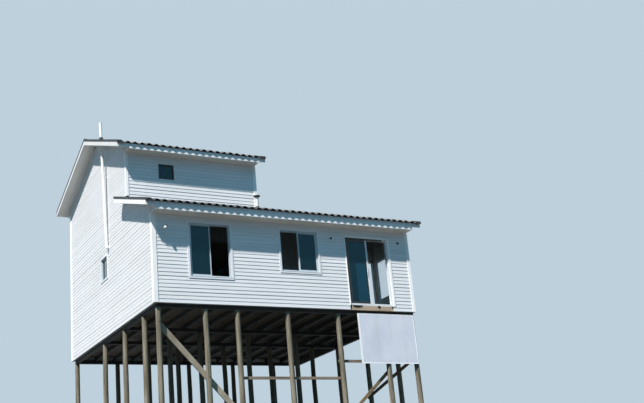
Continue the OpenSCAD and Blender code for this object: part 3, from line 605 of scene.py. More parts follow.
bm = bmesh.new()
lay_boards(bm, LEFT, (0, HOUSE_D), 0, GABLE_TOP, seed=22, nose=LEFT_NOSE, holes=[
    cased(LEFT_WINDOW), (-1, CORNER, -1, HIGH_SOFFIT), (HOUSE_D - CORNER, ANY, -1, LOW_SOFFIT),
    (HOUSE_D - WING_D, ANY, END_SOFFIT, ANY),
    (HOUSE_D - WING_D - RAISED_LEFT, ANY, UPPER_FOOT, HIGH_SOFFIT)], slopes=[low_slope, *gable_slopes])
hand_over(bm, "left_cladding", left_siding_finish)

bm = bmesh.new()
lay_boards(bm, RIGHT_END, (0, WING_D + NOSE), 0, END_SOFFIT, seed=23, slopes=[low_slope], holes=[
    cased(END_WINDOW), (-1, END_CORNER, -1, LOW_SOFFIT)])
lay_boards(bm, LOW_BACK, (0, HOUSE_L - TOWER_W), DECK_TOP, LOW_BACK_TOP, seed=24, holes=[
    (HOUSE_L - 8.0, HOUSE_L - 7.36, -1, 2.05)])
lay_boards(bm, RAISED_RIGHT_WALL, (WING_D, HOUSE_D), DECK_TOP, GABLE_TOP, seed=25, holes=[
    (0, WING_D + 0.026, -1, UPPER_FOOT), (0, WING_D + RAISED_RIGHT, UPPER_FOOT, HIGH_SOFFIT),
    (HOUSE_D - CORNER, ANY, -1, HIGH_SOFFIT)], slopes=gable_slopes)
lay_boards(bm, BACK, (CORNER, TOWER_W - CORNER), 0, HIGH_SOFFIT, seed=26, holes=[
    cased(BACK_WINDOW), RAISED_BACK_WINDOW])
hand_over(bm, "rear_cladding", siding_finish)

bm = bmesh.new()
lay_boards(bm, RAISED_FRONT, (RAISED_LEFT, TOWER_W - RAISED_RIGHT), 34 * LAP, HIGH_SOFFIT, seed=27,
           holes=[RAISED_WINDOW])
hand_over(bm, "raised_front_cladding", siding_finish)


# Roof timber: sawn rafters and purlins, nailed on the wall tops and closed in by the soffits.
for nodes, name, grain in ((("low_rafters", "high_rafters"), "rafter_timber", (22, 1.4, 22)),
                           (("low_purlins", "high_purlins"), "purlin_timber", (1.4, 22, 22))):
    finish = timber(name, colour(120, 98, 68), colour(184, 158, 118), grain, crack=0.15)
    for node in nodes:
        refinish(node, finish)


# Eaves and verges: planed boards round the edges of both roofs, nailed to the purlin ends and
# painted like the trim. Narrow tongued boards box the eave in from wall corner to wall corner;
# past the corners they run up under the slope.
BOARD, SOFFIT_T, SOFFIT_WIDE, LOW_FASCIA, HIGH_FASCIA = 0.025, 0.01, 0.09, -0.375, 1.575
LOW_LEFT, LOW_RIGHT, HIGH_LEFT, HIGH_RIGHT = -0.30, 8.42, -0.37, 4.34


def strip(roof, near, far, top, bottom):
    """Section of a board that follows a roof slope, from one depth to another, below the sheets."""
    return [(near, roof(near) - top), (far, roof(far) - top), (far, roof(far) - bottom),
            (near, roof(near) - bottom)]


def mirrored(outline):
    return [(2 * RIDGE_Y - y, z) for y, z in outline]


def lengths(start, end, longest=3.1):
    """Splits a run of board into equal lengths that a yard sells."""
    count = math.ceil((end - start) / longest)
    ends = [start + (end - start) * k / count for k in range(count + 1)]
    return list(zip(ends, ends[1:]))


def on_slopes(bm, roof, outline, start, end, tone):
    """One bar on the lean-to, or one on each slope of the gable roof."""
    drawn(bm, outline, start, end, tone)
    if roof is high_roof:
        drawn(bm, mirrored(outline), start, end, tone)


# each roof's slope, fascia, far edge, front wall, soffit, left and right verge, and wall's end
ROOFS = ((low_roof, LOW_FASCIA, WING_D, 0, LOW_SOFFIT, LOW_LEFT, LOW_RIGHT, HOUSE_L),
         (high_roof, HIGH_FASCIA, RIDGE_Y, WING_D, HIGH_SOFFIT, HIGH_LEFT, HIGH_RIGHT, TOWER_W))
draw = random.Random(31)
fascias = bmesh.new()
for roof, fascia, _, _, soffit, left, right, wall_end in ROOFS:
    shallow = strip(roof, fascia, fascia + BOARD, 0.002, VERGE)
    deep = shallow[:2] + [(fascia + BOARD, soffit), (fascia, soffit)]
    runs = [(left + BOARD, 0, shallow), (wall_end, right - BOARD, shallow)]
    runs += [(a, b, deep) for a, b in lengths(0, wall_end)]
    if roof is high_roof:
        runs += [(a, b, mirrored(outline)) for a, b, outline in runs]
    for a, b, outline in runs:
        drawn(fascias, outline, a + 0.0006, b - 0.0006, draw.random(), ease=0.0025)
back_level = low_roof(WING_D)
drawn(fascias, [(WING_D, back_level - 0.230), (WING_D + BOARD, back_level - 0.230),
                (WING_D + BOARD, back_level + 0.056), (WING_D, back_level + 0.056)],
      TOWER_W + HAIR, LOW_RIGHT - BOARD, 0.5, ease=0.0025)
fascia_finish = painted("fascia_paint", colour(238, 239, 242), (2.2, 30, 30), spread=0.05)
hand_over(fascias, "fascia_boards", fascia_finish)

verges = bmesh.new()
for x, far in ((LOW_LEFT, 2.21), (LOW_RIGHT - BOARD, WING_D)):
    for a, b in lengths(LOW_FASCIA, far, 4.0):
        drawn(verges, strip(low_roof, a, b - 0.0005, 0.001, VERGE), x, x + BOARD, 1.0, ease=0.0025)
for x in (HIGH_LEFT, HIGH_RIGHT - BOARD):
    outline = strip(high_roof, HIGH_FASCIA, RIDGE_Y - 0.0005, 0.001, VERGE)
    drawn(verges, outline, x, x + BOARD, 0.15, ease=0.0025)
    drawn(verges, mirrored(outline), x, x + BOARD, 0.3, ease=0.0025)
for roof, fascia, _, wall_y, soffit, _, _, wall_end in ROOFS:
    inside = fascia + BOARD
    foot, lift = soffit + SOFFIT_T + HAIR, SOFFIT_T - VERGE
    cheek = [(inside, foot), (wall_y - HAIR, foot), (wall_y - HAIR, roof(wall_y) + lift),
             (inside, roof(inside) + lift)]
    for x in (0, wall_end - BOARD):
        on_slopes(verges, roof, cheek, x, x + BOARD, 0.5)
verge_finish = painted("verge_paint", colour(228, 228, 229), (30, 2.2, 30), spread=0.24)
eave_boards = hand_over(verges, "verge_boards", verge_finish)
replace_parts(eave_boards, "low_eave_boards", "high_eave_boards")

soffits = bmesh.new()
for y0, y1, soffit, end in ((LOW_FASCIA + BOARD, 0, LOW_SOFFIT, HOUSE_L),
                            (HIGH_FASCIA + BOARD, WING_D, HIGH_SOFFIT, TOWER_W),
                            (HOUSE_D, 2 * RIDGE_Y - HIGH_FASCIA - BOARD, HIGH_SOFFIT, TOWER_W)):
    width = (y1 - y0) / 4
    for k in range(4):
        for a, b in lengths(0, end, 3.1 - 0.45 * (k % 2)):
            board(soffits, (a + 0.0005, y0 + k * width + 0.0004, soffit),
                  (b - 0.0005, y0 + (k + 1) * width - 0.0004, soffit + SOFFIT_T), 0.0035, draw.random())
soffit_finish = painted("soffit_paint", colour(250, 245, 234), (2.2, 26, 26), spread=0.06)
hand_over(soffits, "eave_soffits", soffit_finish)

slopes = bmesh.new()
for roof, fascia, far, _, _, left, right, wall_end in ROOFS:
    outline = strip(roof, fascia + BOARD + 0.0005, far - 0.0005, VERGE - SOFFIT_T, VERGE)
    for start, end in ((left + BOARD, 0), (wall_end, right - BOARD)):
        count = round((end - start) / SOFFIT_WIDE)
        width = (end - start) / count
        for k in range(count):
            a, b = start + k * width + 0.0004, start + (k + 1) * width - 0.0004
            drawn(slopes, outline, a, b, draw.random(), ease=0.003)
            if roof is high_roof:
                drawn(slopes, mirrored(outline), a, b, draw.random(), ease=0.003)
verge_soffit_finish = painted("verge_soffit_paint", colour(252, 250, 245), (26, 2.2, 26), spread=0.06)
hand_over(slopes, "verge_soffits", verge_soffit_finish)


# Roof sheets: big waved sheets laid from the eave up, each row lapped over the one below and each
# sheet over its neighbour by one wave, held by a washered screw on every second crest.
WAVE, SHEET = 0.056, 0.006
LOW_LENGTH, HIGH_LENGTH, TAIL_WIDTH, TAIL_LENGTH = 2.513, 3.466, 0.2924, 0.296
LOW_WAVES, HIGH_WAVES, ROW_LAP = 41, 22, 0.09
LOW_STEP, HIGH_STEP = (LOW_RIGHT - LOW_LEFT) / LOW_WAVES, (HIGH_RIGHT - HIGH_LEFT) / HIGH_WAVES


def wave_rise(turns):
    return WAVE / 2 * (1 - math.cos(2 * math.pi * turns))


def lay_sheets(bm, place, waves, step, length, slope, reach, seed):
    """Two rows of five-wave sheets over a slope, whose lower left corner and turn are a matrix.
    The lowest row is cut plumb at the eave."""
    draw = random.Random(seed)
    for row in range(2):
        low = max(0.0, length * row / 2 - ROW_LAP)
        high = min(length, length * (row + 1) / 2 + ROW_LAP)
        for first in range(0, waves, 4):
            wide = min(5, waves - first)
            if wide == 1:
                continue
            grid = bmesh.ops.create_grid(bm, x_segments=wide * 12, y_segments=2, size=0.5)["verts"]
            tilt, tone = draw.uniform(-0.001, 0.001), draw.random()
            for v in grid:
                u, w = v.co.x + 0.5, v.co.y + 0.5
                turns = first + u * wide
                lift = (0.009 * (1 - w) if row else 0.0) + (0.008 * (1 - u) if first else 0.0)
                rise = wave_rise(turns) + lift
                plumb = 0.0 if row or w > 0.01 else rise * math.tan(slope) - reach
                v.co = Vector((turns * step, low + (high - low) * w + tilt + plumb, rise))
            give_tone(bm, grid, tone)
            bmesh.ops.transform(bm, matrix=place, verts=grid)


def slope_place(x, eave, pitch, back=False):
    """Where a slope starts, at its lower left corner as seen from outside, and how it rises."""
    turn = Matrix.Rotation(math.pi, 4, "Z") if back else Matrix()
    y = 2 * RIDGE_Y - eave[0] if back else eave[0]
    return Matrix.Translation((x, y, eave[1])) @ turn @ Matrix.Rotation(pitch, 4, "X")


sheet_coat = Finish("roof_sheet_coat", 0.62, 0.35)
streaks = sheet_coat.noise(sheet_coat.stretched((9, 0.7, 0.7)), 1.0, 6.0, 0.6)
dust = sheet_coat.noise(sheet_coat.place, 2.2, 5.0, 0.6)
tone = sheet_coat.ramp(streaks, (0.3, colour(38, 42, 45)), (0.75, colour(66, 70, 72)))
tone = sheet_coat.mix(sheet_coat.mask(dust, 0.5, 0.8, 0.6), tone, colour(98, 98, 92))
sheet_coat.paint(toned(sheet_coat, tone, 0.25))
sheet_coat.roughen(dust, 0.3, 0.45)
sheet_coat.bump(sheet_coat.noise(sheet_coat.place, 60.0, 5.0), 0.0006, 0.6)

low_place = slope_place(LOW_LEFT, LOW_EAVE, LOW_PITCH)
front_place = slope_place(HIGH_LEFT, HIGH_EAVE, HIGH_PITCH)
back_place = slope_place(HIGH_RIGHT, HIGH_EAVE, HIGH_PITCH, back=True)
# waves and their width, length up the slope, pitch, eave, reach past it, and depths of the purlins
low_cover = (LOW_WAVES, LOW_STEP, LOW_LENGTH, LOW_PITCH, LOW_EAVE[0], 0.011,
             (-0.325, 0.26, 0.86, 1.40, 1.87))
high_cover = (HIGH_WAVES, HIGH_STEP, HIGH_LENGTH, HIGH_PITCH, HIGH_EAVE[0], 0.008,
              (1.625, 2.42, 3.22, 4.05))
SCREW_WASHER, SCREW_HEAD = (10, 0.014, 0.009, 0.004, 0), (6, 0.006, 0.0055, 0.007, 0.005)
screws = bmesh.new()
for name, node, place, (waves, step, length, slope, eave, reach, purlins) in (
        ("low_waved_sheets", "low_roof_sheets", low_place, low_cover),
        ("front_waved_sheets", "high_roof_front_sheets", front_place, high_cover),
        ("back_waved_sheets", "high_roof_back_sheets", back_place, high_cover)):
    bm = bmesh.new()
    lay_sheets(bm, place, waves, step, length, slope, reach, len(name))
    if node == "low_roof_sheets":
        tail = bmesh.ops.create_grid(bm, x_segments=18, y_segments=2, size=0.5)["verts"]
        for v in tail:
            x = (v.co.x + 0.5) * TAIL_WIDTH
            v.co = Vector((x, LOW_LENGTH + (v.co.y + 0.5) * TAIL_LENGTH, wave_rise(x / LOW_STEP)))
        bmesh.ops.transform(bm, matrix=place, verts=tail)
    bmesh.ops.recalc_face_normals(bm, faces=bm.faces)
    if sum(f.normal.z for f in bm.faces) > 0:
        bmesh.ops.reverse_faces(bm, faces=bm.faces)
    bmesh.ops.solidify(bm, geom=bm.faces, thickness=SHEET)
    sheets = hand_over(bm, name, sheet_coat.material, smooth=40)
    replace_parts(sheets, node)
    for purlin in purlins:
        for crest in range(0, waves, 2):
            spot = ((crest + 0.5) * step, (purlin - eave) / math.cos(slope), WAVE + SHEET + 0.010)
            turned(screws, place @ Matrix.Translation(spot), SCREW_WASHER, SCREW_HEAD)
screw_finish = mottled("roof_screw", (40, 40, 40), 3.0, (0.35, colour(92, 90, 88)),
                       (0.7, colour(160, 162, 164)), 0.45, metallic=0.85)
hand_over(screws, "roof_screws", screw_finish.material, smooth=30)


# Ridge and flashings: a rolled ridge cap in three lapped lengths, a folded apron where the lean-to
# meets the raised wall, a cap along its back edge, caps over the verges, and collars round both pipes.
RIDGE_WING, RIDGE_ROLL = 0.19, 0.030


def folded(points, thick=0.002):
    """Closed section of a thin sheet folded along the given (y, z) points."""
    return points + [(y, z - thick) for y, z in reversed(points)]


bm = bmesh.new()
crest = high_roof(RIDGE_Y) + (WAVE + 0.010) / math.cos(HIGH_PITCH)
for k, (a, b) in enumerate(lengths(HIGH_LEFT, HIGH_RIGHT, 1.6)):
    lap = k % 2
    grow = 0.003 * lap
    half = [(-y, crest - y * HIGH_TAN - drop + grow)
            for y, drop in ((RIDGE_WING + 0.005, 0.012), (RIDGE_WING, 0), (RIDGE_ROLL + 0.004, 0))]
    roll = [(-RIDGE_ROLL * math.cos(t), crest - 0.008 + (RIDGE_ROLL + grow) * math.sin(t))
            for t in (math.radians(step) for step in range(12, 180, 13))]
    whole = half + roll + [(-y, z) for y, z in reversed(half)]
    drawn(bm, folded([(RIDGE_Y + y, z) for y, z in whole], 0.003), max(HIGH_LEFT, a - 0.04 * lap),
          min(HIGH_RIGHT, b + 0.04 * lap), 0.3 + 0.2 * k)
ridge = hand_over(bm, "rolled_ridge", sheet_coat.material, smooth=25)
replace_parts(ridge, "ridge_cap")

bm = bmesh.new()
APRON = low_roof(WING_D) + (WAVE + 0.012) / math.cos(LOW_PITCH)


def on_lean_to(depth, lift):
    """A point of an apron's section, by its depth from the raised wall and its lift off the slope."""
    return WING_D + depth, APRON + depth * LOW_TAN + lift


for a, b in lengths(-0.006, TOWER_W, 2.1):
    drawn(bm, folded([on_lean_to(-0.19, -0.010), on_lean_to(-0.184, 0), on_lean_to(-0.012, 0),
                      (WING_D - 0.005, APRON + 0.008), (WING_D - 0.004, APRON + 0.06)]), a, b, 0.4)
for a, b in lengths(TOWER_W + 0.002, LOW_RIGHT, 2.2):
    drawn(bm, folded([on_lean_to(-0.16, -0.010), on_lean_to(-0.155, 0), on_lean_to(0.027, 0),
                      (WING_D + 0.029, APRON - 0.055)]), a, b, 0.6)
CAP_TOP, CAP_WIDTH, CAP_OUT, CAP_GAP = -0.072, 0.15, 0.0022, 0.0002
low_near, high_near = LOW_EAVE[0] - 0.002, HIGH_EAVE[0] - 0.002
for roof, near, reach, x, side in ((low_roof, low_near, 2.212, LOW_LEFT, -1),
                                   (low_roof, low_near, WING_D, LOW_RIGHT, 1),
                                   (high_roof, high_near, RIDGE_Y, HIGH_LEFT, -1),
                                   (high_roof, high_near, RIDGE_Y, HIGH_RIGHT, 1)):
    for end, leaf_top, leaf_foot, inner, outer in (
            (reach, CAP_TOP, 0.004, CAP_GAP, CAP_OUT),
            (reach, CAP_TOP - 0.002, CAP_TOP, -CAP_WIDTH, CAP_OUT),
            (reach, CAP_TOP, CAP_TOP + 0.012, -CAP_WIDTH - 0.0015, -CAP_WIDTH),
            (near + 0.002, CAP_TOP, 0.012, -CAP_WIDTH, CAP_GAP)):
        a, b = sorted((x + side * inner, x + side * outer))
        on_slopes(bm, roof, strip(roof, near, end, leaf_top, leaf_foot), a, b, 0.5)
hand_over(bm, "roof_flashings", sheet_coat.material, smooth=25)

VENT_FOOT, VENT_LEAN, PIPE_R = Vector((-0.062, 3.65, 2.56)), math.radians(1.7), 0.045
FLUE_PLACE, FLUE_LID = Vector((4.035, 1.725, 0)), Vector((0, 0, 3.90))
vent_turn = Matrix.Translation(VENT_FOOT) @ Matrix.Rotation(-VENT_LEAN, 4, "Y")
vent_rise = (high_roof(VENT_FOOT.y) - VENT_FOOT.z + WAVE + 0.03) / math.cos(VENT_LEAN)
flue_rise = low_roof(FLUE_PLACE.y) + WAVE + 0.02
bm = bmesh.new()
for turn, rise, plate, pitch in ((vent_turn, vent_rise, 0.085, HIGH_PITCH),
                                 (Matrix.Translation(FLUE_PLACE), flue_rise, 0.12, LOW_PITCH)):
    cone = bmesh.ops.create_cone(bm, cap_ends=False, segments=28, radius1=PIPE_R + 0.030,
                                 radius2=PIPE_R + 0.002, depth=0.07)["verts"]
    bmesh.ops.transform(bm, matrix=turn @ Matrix.Translation((0, 0, rise + 0.035)), verts=cone)
    skirt = bmesh.ops.create_circle(bm, cap_ends=True, segments=28, radius=plate)["verts"]
    laid = turn @ Matrix.Translation((0, 0, rise)) @ Matrix.Rotation(pitch, 4, "X")
    bmesh.ops.transform(bm, matrix=laid, verts=skirt)
thicken(bm, bm.faces, 0.002)
collar_finish = mottled("collar_rubber", (30, 30, 30), 4.0, (0.3, colour(30, 31, 32)),
                        (0.7, colour(58, 58, 57)), 0.7, 0.3)
hand_over(bm, "pipe_collars", collar_finish.material, smooth=40)


# Pipes: a plastic vent pipe clipped to the left wall, greyed by dust in patches, and a short
# enamelled flue with a dark lid.
vent_finish = mottled("pipe_plastic", (5, 5, 0.8), 5.0, (0.35, colour(243, 244, 245)),
                      (0.8, colour(222, 222, 218)), 0.42, uneven=0.6)
vent_finish.bump(vent_finish.noise(vent_finish.place, 120.0, 3.0), 0.0002)
refinish("vent_pipe", vent_finish.material)
flue_finish = mottled("flue_enamel", (10, 10, 1.5), 5.0, (0.4, colour(222, 226, 234)),
                      (0.8, colour(150, 150, 148)), 0.4, uneven=0.6)
flue_finish.bump(flue_finish.patches, 0.0004)
refinish("flue", flue_finish.material)
bm = bmesh.new()
turned(bm, Matrix(), (36, 0.104, 0.101, 0.026, 0))
eased(bm, list(bm.edges), 0.004, 2)
bmesh.ops.translate(bm, verts=bm.verts, vec=FLUE_PLACE + FLUE_LID)
hand_over(bm, "flue_lid", collar_finish.material, smooth=35)


# Windows: aluminium sliding windows set in the wall openings, pale ones below and, as painted shade,
# dark ones in the raised storey, with black rubber gaskets round the panes, small latches where the
# sashes meet and a sloping drip sill under each. The end window has clear panes, the others tinted ones.
RAISED_LEVEL, END_ROOM_X = 7.2, 3.9
metal_finish = Finish("window_aluminium", 0.5, 0.3)
brushed = metal_finish.noise(metal_finish.stretched((60, 60, 2)), 1.0, 4.0, 0.5)
pale = metal_finish.ramp(brushed, (0.3, colour(178, 190, 198)), (0.7, colour(196, 207, 214)))
# frames above the raised storey's floor are painted dark: painted shade, for the shade under the high eave
shade_dark_bronze = metal_finish.ramp(brushed, (0.3, colour(38, 42, 43)), (0.7, colour(58, 63, 64)))
raised = metal_finish.maths("GREATER_THAN", metal_finish.along("Z"), RAISED_LEVEL)
metal_finish.paint(metal_finish.mix(raised, pale, shade_dark_bronze))
metal_finish.bump(brushed, 0.0002, 0.5)
refinish("window_frames", metal_finish.material)
refinish("window_sashes", metal_finish.material)

TINT = (0.075, 0.21, 0.27, 1)
pane_finish = Finish("dark_pane", 0.03, 0.4)
film = pane_finish.noise(pane_finish.place, 3.0, 4.0, 0.6)
pane_finish.set(pane_finish.shader, {"Transmission Weight": 0.96, "IOR": 1.5,
                                     "Specular Tint": (0.30, 0.78, 1.0, 1)})
pane_finish.roughen(film, 0.05, 0.0)
tone = pane_finish.mix(pane_finish.mask(film, 0.4, 0.9, 0.4), TINT, scaled(TINT, 1.3, 1.3, 1.3))
at_end = pane_finish.maths("GREATER_THAN", pane_finish.along("X"), END_ROOM_X)
pane_finish.paint(pane_finish.mix(at_end, tone, (0.93, 0.96, 0.96, 1)))
for node in ("window_glass", "door_fixed_glass", "door_sliding_glass"):
    refinish(node, pane_finish.material)
rubber = mottled("gasket_rubber", (50, 50, 50), 3.0, (0.3, colour(18, 18, 19)),
                 (0.7, colour(40, 40, 41)), 0.6, 0.3).material


def ring_of_boards(bm, a0, a1, z0, z1, near, far, wide, ease, sideways=False):
    """Four strips round a field: two upright ones and two between them. Sideways, it lies along y."""
    in0, in1 = a0 + wide, a1 - wide
    for left, right, low, high in ((a0, in0, z0, z1), (in1, a1, z0, z1), (in0, in1, z0, z0 + wide),
                                   (in0, in1, z1 - wide, z1)):
        if sideways:
            board(bm, (near, left, low), (far, right, high), ease)
        else:
            board(bm, (left, near, low), (right, far, high), ease)


def gasket(bm, a0, a1, z0, z1, near, thick=0.0034, sideways=False):
    ring_of_boards(bm, a0, a1, z0, z1, near, near + thick, 0.006, 0.001, sideways)


# each pane's left, right, under and over, and the depth of its gasket
bm = bmesh.new()
for x0, x1, z0, z1 in ((1.1059, 1.6303, 0.8259, 2.1941), (4.3997, 4.9241, 1.1159, 2.1841)):
    for y in (0.0240, 0.0325, 0.0520, 0.0605):
        gasket(bm, x0, x1, z0, z1, y)
for pane in ((1.4956, 2.0447, 1.0856, 2.2144, 7.5575), (2.0753, 2.6244, 1.0856, 2.2144, 7.5575),
             (1.8556, 2.2644, 4.2756, 4.6744, 7.5575), (1.0206, 1.4294, 4.2756, 4.6744, 1.9690)):
    gasket(bm, *pane)
for pane in ((0.5956, 1.7044, 0.8156, 1.9944, 8.0776), (3.8556, 4.0877, 1.7856, 2.3644, 0.0390),
             (4.1123, 4.3444, 1.7856, 2.3644, 0.0390)):
    gasket(bm, *pane, sideways=True)
hand_over(bm, "window_gaskets", rubber)

bm = bmesh.new()
SILL_REACH = 0.04
DRIP = ((0.012, 0.010), (-0.026, 0.001), (-0.028, -0.009), (-0.026, -0.009), (-0.024, -0.002), (0.012, 0.007))
for place, (left, right, under, _) in (
        (FRONT, FRONT_WINDOWS[0]), (FRONT, FRONT_WINDOWS[1]), (LEFT, LEFT_WINDOW),
        (RIGHT_END, END_WINDOW), (BACK, BACK_WINDOW)):
    drawn(bm, [(y, under + lift) for y, lift in DRIP], left - SILL_REACH, right + SILL_REACH, turn=place)
for x, z in ((1.6456, 1.50), (4.3844, 1.62)):
    board(bm, (x - 0.009, 0.010, z - 0.045), (x + 0.009, 0.0198, z + 0.045), 0.003)
    board(bm, (x - 0.005, -0.008, z - 0.004), (x + 0.005, 0.010, z + 0.03), 0.002)
hand_over(bm, "window_sills_and_latches", metal_finish.material)


# Sliding door: a dark metal frame with a pale sill and lock jamb, and one fixed and one sliding leaf,
# dark but for the pale stiles where they meet. Each pane is held by rubber gaskets; the sliding leaf
# has a bow handle and a keyed lock.
def door_coat(name, right_of, below):
    """Dark lacquer, pale to the right of one place and below one level, in the shared frame."""
    made = Finish(name, 0.4, 0.4)
    grime = made.noise(made.place, 3.0, 5.0, 0.6)
    brushed = made.noise(made.stretched((60, 60, 2)), 1.0, 4.0, 0.5)
    dark = made.ramp(brushed, (0.3, colour(30, 38, 41)), (0.7, colour(48, 57, 60)))
    pale = made.ramp(grime, (0.4, colour(226, 230, 236)), (0.85, colour(196, 198, 202)))
    light = made.maths("MAXIMUM", made.maths("GREATER_THAN", made.along("X"), right_of),
                       made.maths("LESS_THAN", made.along("Z"), below))
    made.paint(made.mix(light, dark, pale))
    made.bump(brushed, 0.0001)
    return made.material


LOCK_JAMB_X, SILL_TOP, MEETING_X = 3.2, 3.4002, 2.587
refinish("door_frame", door_coat("door_frame_coat", LOCK_JAMB_X, SILL_TOP))
leaf_coat = door_coat("door_leaf_coat", MEETING_X, 0.0)
refinish("door_fixed_leaf", leaf_coat)
refinish("door_sliding_leaf", leaf_coat)
bm = bmesh.new()
for y in (0.0675, 0.0755):
    gasket(bm, 6.0306, 6.6150, 0.2556, 2.0794, y, 0.003)
hand_over(bm, "fixed_leaf_gasket", rubber)
bm = bmesh.new()
for y in (0.0250, 0.0335):
    gasket(bm, 6.0363, 6.6207, 0.2613, 2.0737, y, 0.0035)
hand_over(bm, "sliding_leaf_gasket", rubber, body="door_leaf")

HANDLE_X, HANDLE_Z, STRAP = 6.6485, 1.12, 0.012
bm = bmesh.new()
board(bm, (HANDLE_X - 0.014, 0.0125, HANDLE_Z - 0.13), (HANDLE_X + 0.014, 0.0158, HANDLE_Z + 0.13), 0.0012)
bow = [bm.verts.new((HANDLE_X - STRAP / 2, 0.013 - 0.030 * math.sin(math.pi * k / 14) ** 0.6,
                     HANDLE_Z - 0.095 * math.cos(math.pi * k / 14))) for k in range(15)]
spine = [bm.edges.new(pair) for pair in zip(bow, bow[1:])]
far_edge = only(bmesh.types.BMVert, bmesh.ops.extrude_edge_only(bm, edges=spine)["geom"])
bmesh.ops.translate(bm, verts=far_edge, vec=(STRAP, 0, 0))
thicken(bm, faces_of(bow), 0.007)
turned(bm, facing_front(HANDLE_X, 0.010, HANDLE_Z - 0.115), (18, 0.008, 0.007, 0.006, 0))
handle_finish = mottled("handle_metal", (420, 420, 16), 3.0, (0.3, colour(172, 174, 178)),
                        (0.7, colour(198, 200, 204)), 0.35, metallic=0.9)
hand_over(bm, "door_handle", handle_finish.material, body="door_leaf", smooth=40)

bm = bmesh.new()
for left, right, foot in ((DOOR_X + DOOR_W, DOOR_X + DOOR_W + CASING_RIGHT, DECK_TOP),
                          (DOOR_X - CASING_LEFT, DOOR_X, DECK_TOP),
                          (DOOR_X + 0.0005, DOOR_X + DOOR_W - 0.0005, DOOR_TOP)):
    board(bm, (left, -BOARD_T, foot), (right, 0, DOOR_TOP + CASING_TOP), 0.0025)
hand_over(bm, "door_casing", trim_finish)

bm = bmesh.new()
for y, jamb, last, top in ((1.812, 7.30, 8.0195, 2.11), (WING_D, 7.295, 8.055, 2.115)):
    for left, right, foot, head in ((jamb, 7.36, DECK_TOP, top), (8.0005, last, DECK_TOP, top),
                                    (7.3605, 8.0, 2.05, top)):
        board(bm, (left, y, foot), (right, y + 0.018, head), 0.002, draw.random())
casing_finish = bare_board("casing_board", colour(128, 116, 98), colour(184, 172, 150), (26, 26, 1.3), 0.2)
hand_over(bm, "terrace_doorway_casing", casing_finish)


# Sign board: a sheet of steel enamelled pale lilac inside a white margin, with a folded rim, a
# little buckled between its fixings, screwed to two battens across the right-hand poles. It is blank.
SIGN_LEFT, SIGN_RIGHT, SIGN_FOOT, SIGN_TOP, RIM = 6.12, 8.05, -1.545, -0.09, 0.012
LEFT_MARGIN, MARGIN = 0.055, 0.03
enamel = Finish("sign_enamel", 0.36, 0.5)
grime = enamel.noise(enamel.stretched((6, 6, 0.9)), 1.0, 6.0, 0.6)
cloud = enamel.noise(enamel.place, 1.3, 4.0, 0.5)
tone = enamel.ramp(cloud, (0.3, colour(208, 212, 226)), (0.7, colour(222, 225, 235)))
field = 1.0
for axis, low, high, corner in (("X", SIGN_LEFT + LEFT_MARGIN, SIGN_RIGHT - MARGIN, HOUSE_CORNER.x),
                                ("Z", SIGN_FOOT + MARGIN, SIGN_TOP - MARGIN, HOUSE_CORNER.z)):
    for test, limit in (("GREATER_THAN", low + corner), ("LESS_THAN", high + corner)):
        field = enamel.maths("MULTIPLY", field, enamel.maths(test, enamel.along(axis), limit))
tone = enamel.mix(field, colour(246, 248, 252), tone)
enamel.paint(enamel.mix(enamel.mask(grime, 0.5, 0.85, 0.18), tone, colour(150, 140, 124)))
enamel.roughen(grime, 0.3, 0.22)
bm = bmesh.new()
sheet = bmesh.ops.create_grid(bm, x_segments=32, y_segments=24, size=0.5)["verts"]
for v in sheet:
    u, w = v.co.x + 0.5, v.co.y + 0.5
    edge = min(1.0, 12 * min(u, 1 - u, w, 1 - w))
    buckle = 0.0028 * edge * noise.noise((3.1 * u, 2.3 * w, 4.0))
    v.co = Vector((SIGN_LEFT + 0.004 + (SIGN_RIGHT - SIGN_LEFT - 0.008) * u, 0.0225 - buckle,
                   SIGN_FOOT + 0.004 + (SIGN_TOP - SIGN_FOOT - 0.008) * w))
thicken(bm, bm.faces, 0.0015)
ring_of_boards(bm, SIGN_LEFT, SIGN_RIGHT, SIGN_FOOT, SIGN_TOP, 0.018, 0.029, RIM, 0.003)
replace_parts(hand_over(bm, "sign_sheet", enamel.material, smooth=30), "sign_board")
bm = bmesh.new()
for z in (-1.485, -0.21):
    board(bm, (SIGN_LEFT + 0.002, 0.0305, z), (SIGN_RIGHT - 0.002, 0.0548, z + 0.06), 0.003, draw.random())
batten_finish = bare_board("batten_board", colour(112, 94, 68), colour(170, 148, 112), (1.4, 26, 26), 0.2)
hand_over(bm, "sign_battens", batten_finish)
bm = bmesh.new()
for z in (-1.455, -0.18):
    for k in range(7):
        x = SIGN_LEFT + 0.09 + (SIGN_RIGHT - SIGN_LEFT - 0.18) * k / 6
        turned(bm, facing_front(x, 0.0185, z), (12, 0.007, 0.004, 0.004, 0))
hand_over(bm, "sign_screws", steel, smooth=30)


# Fittings on the front wall: a bracket lamp, a large milky bulb in a dark holder at the end of a
# bent arm on a round base, and two round electric boxes that still wait for their covers; the
# boxes' black is painted shade for their open holes.
LAMP_BASE, BULB_PLACE = Vector((0.358, -0.0235, 2.030)), Vector((0.296, -0.206, 2.002))
bulb_finish = mottled("milky_glass", (20, 20, 20), 4.0, (0.4, colour(246, 246, 246)),
                      (0.8, colour(228, 228, 226)), 0.28)
bulb_finish.bump(bulb_finish.noise(bulb_finish.place, 90.0, 3.0), 0.0003)
tilt = Vector((0.55, 0.25, 0.80)).to_track_quat("Z", "Y").to_matrix().to_4x4()
hang = Matrix.Translation(BULB_PLACE) @ tilt
bm = bmesh.new()
for v in bmesh.ops.create_uvsphere(bm, u_segments=28, v_segments=18, radius=0.040)["verts"]:
    if v.co.z > 0:
        narrow = 1 - 8.5 * v.co.z
        v.co = Vector((v.co.x * narrow, v.co.y * narrow, v.co.z * 1.6))
bmesh.ops.transform(bm, matrix=hang, verts=bm.verts)
hand_over(bm, "lamp_bulb", bulb_finish.material, smooth=40)
bm = bmesh.new()
turned(bm, hang, (24, 0.030, 0.020, 0.042, 0.068))
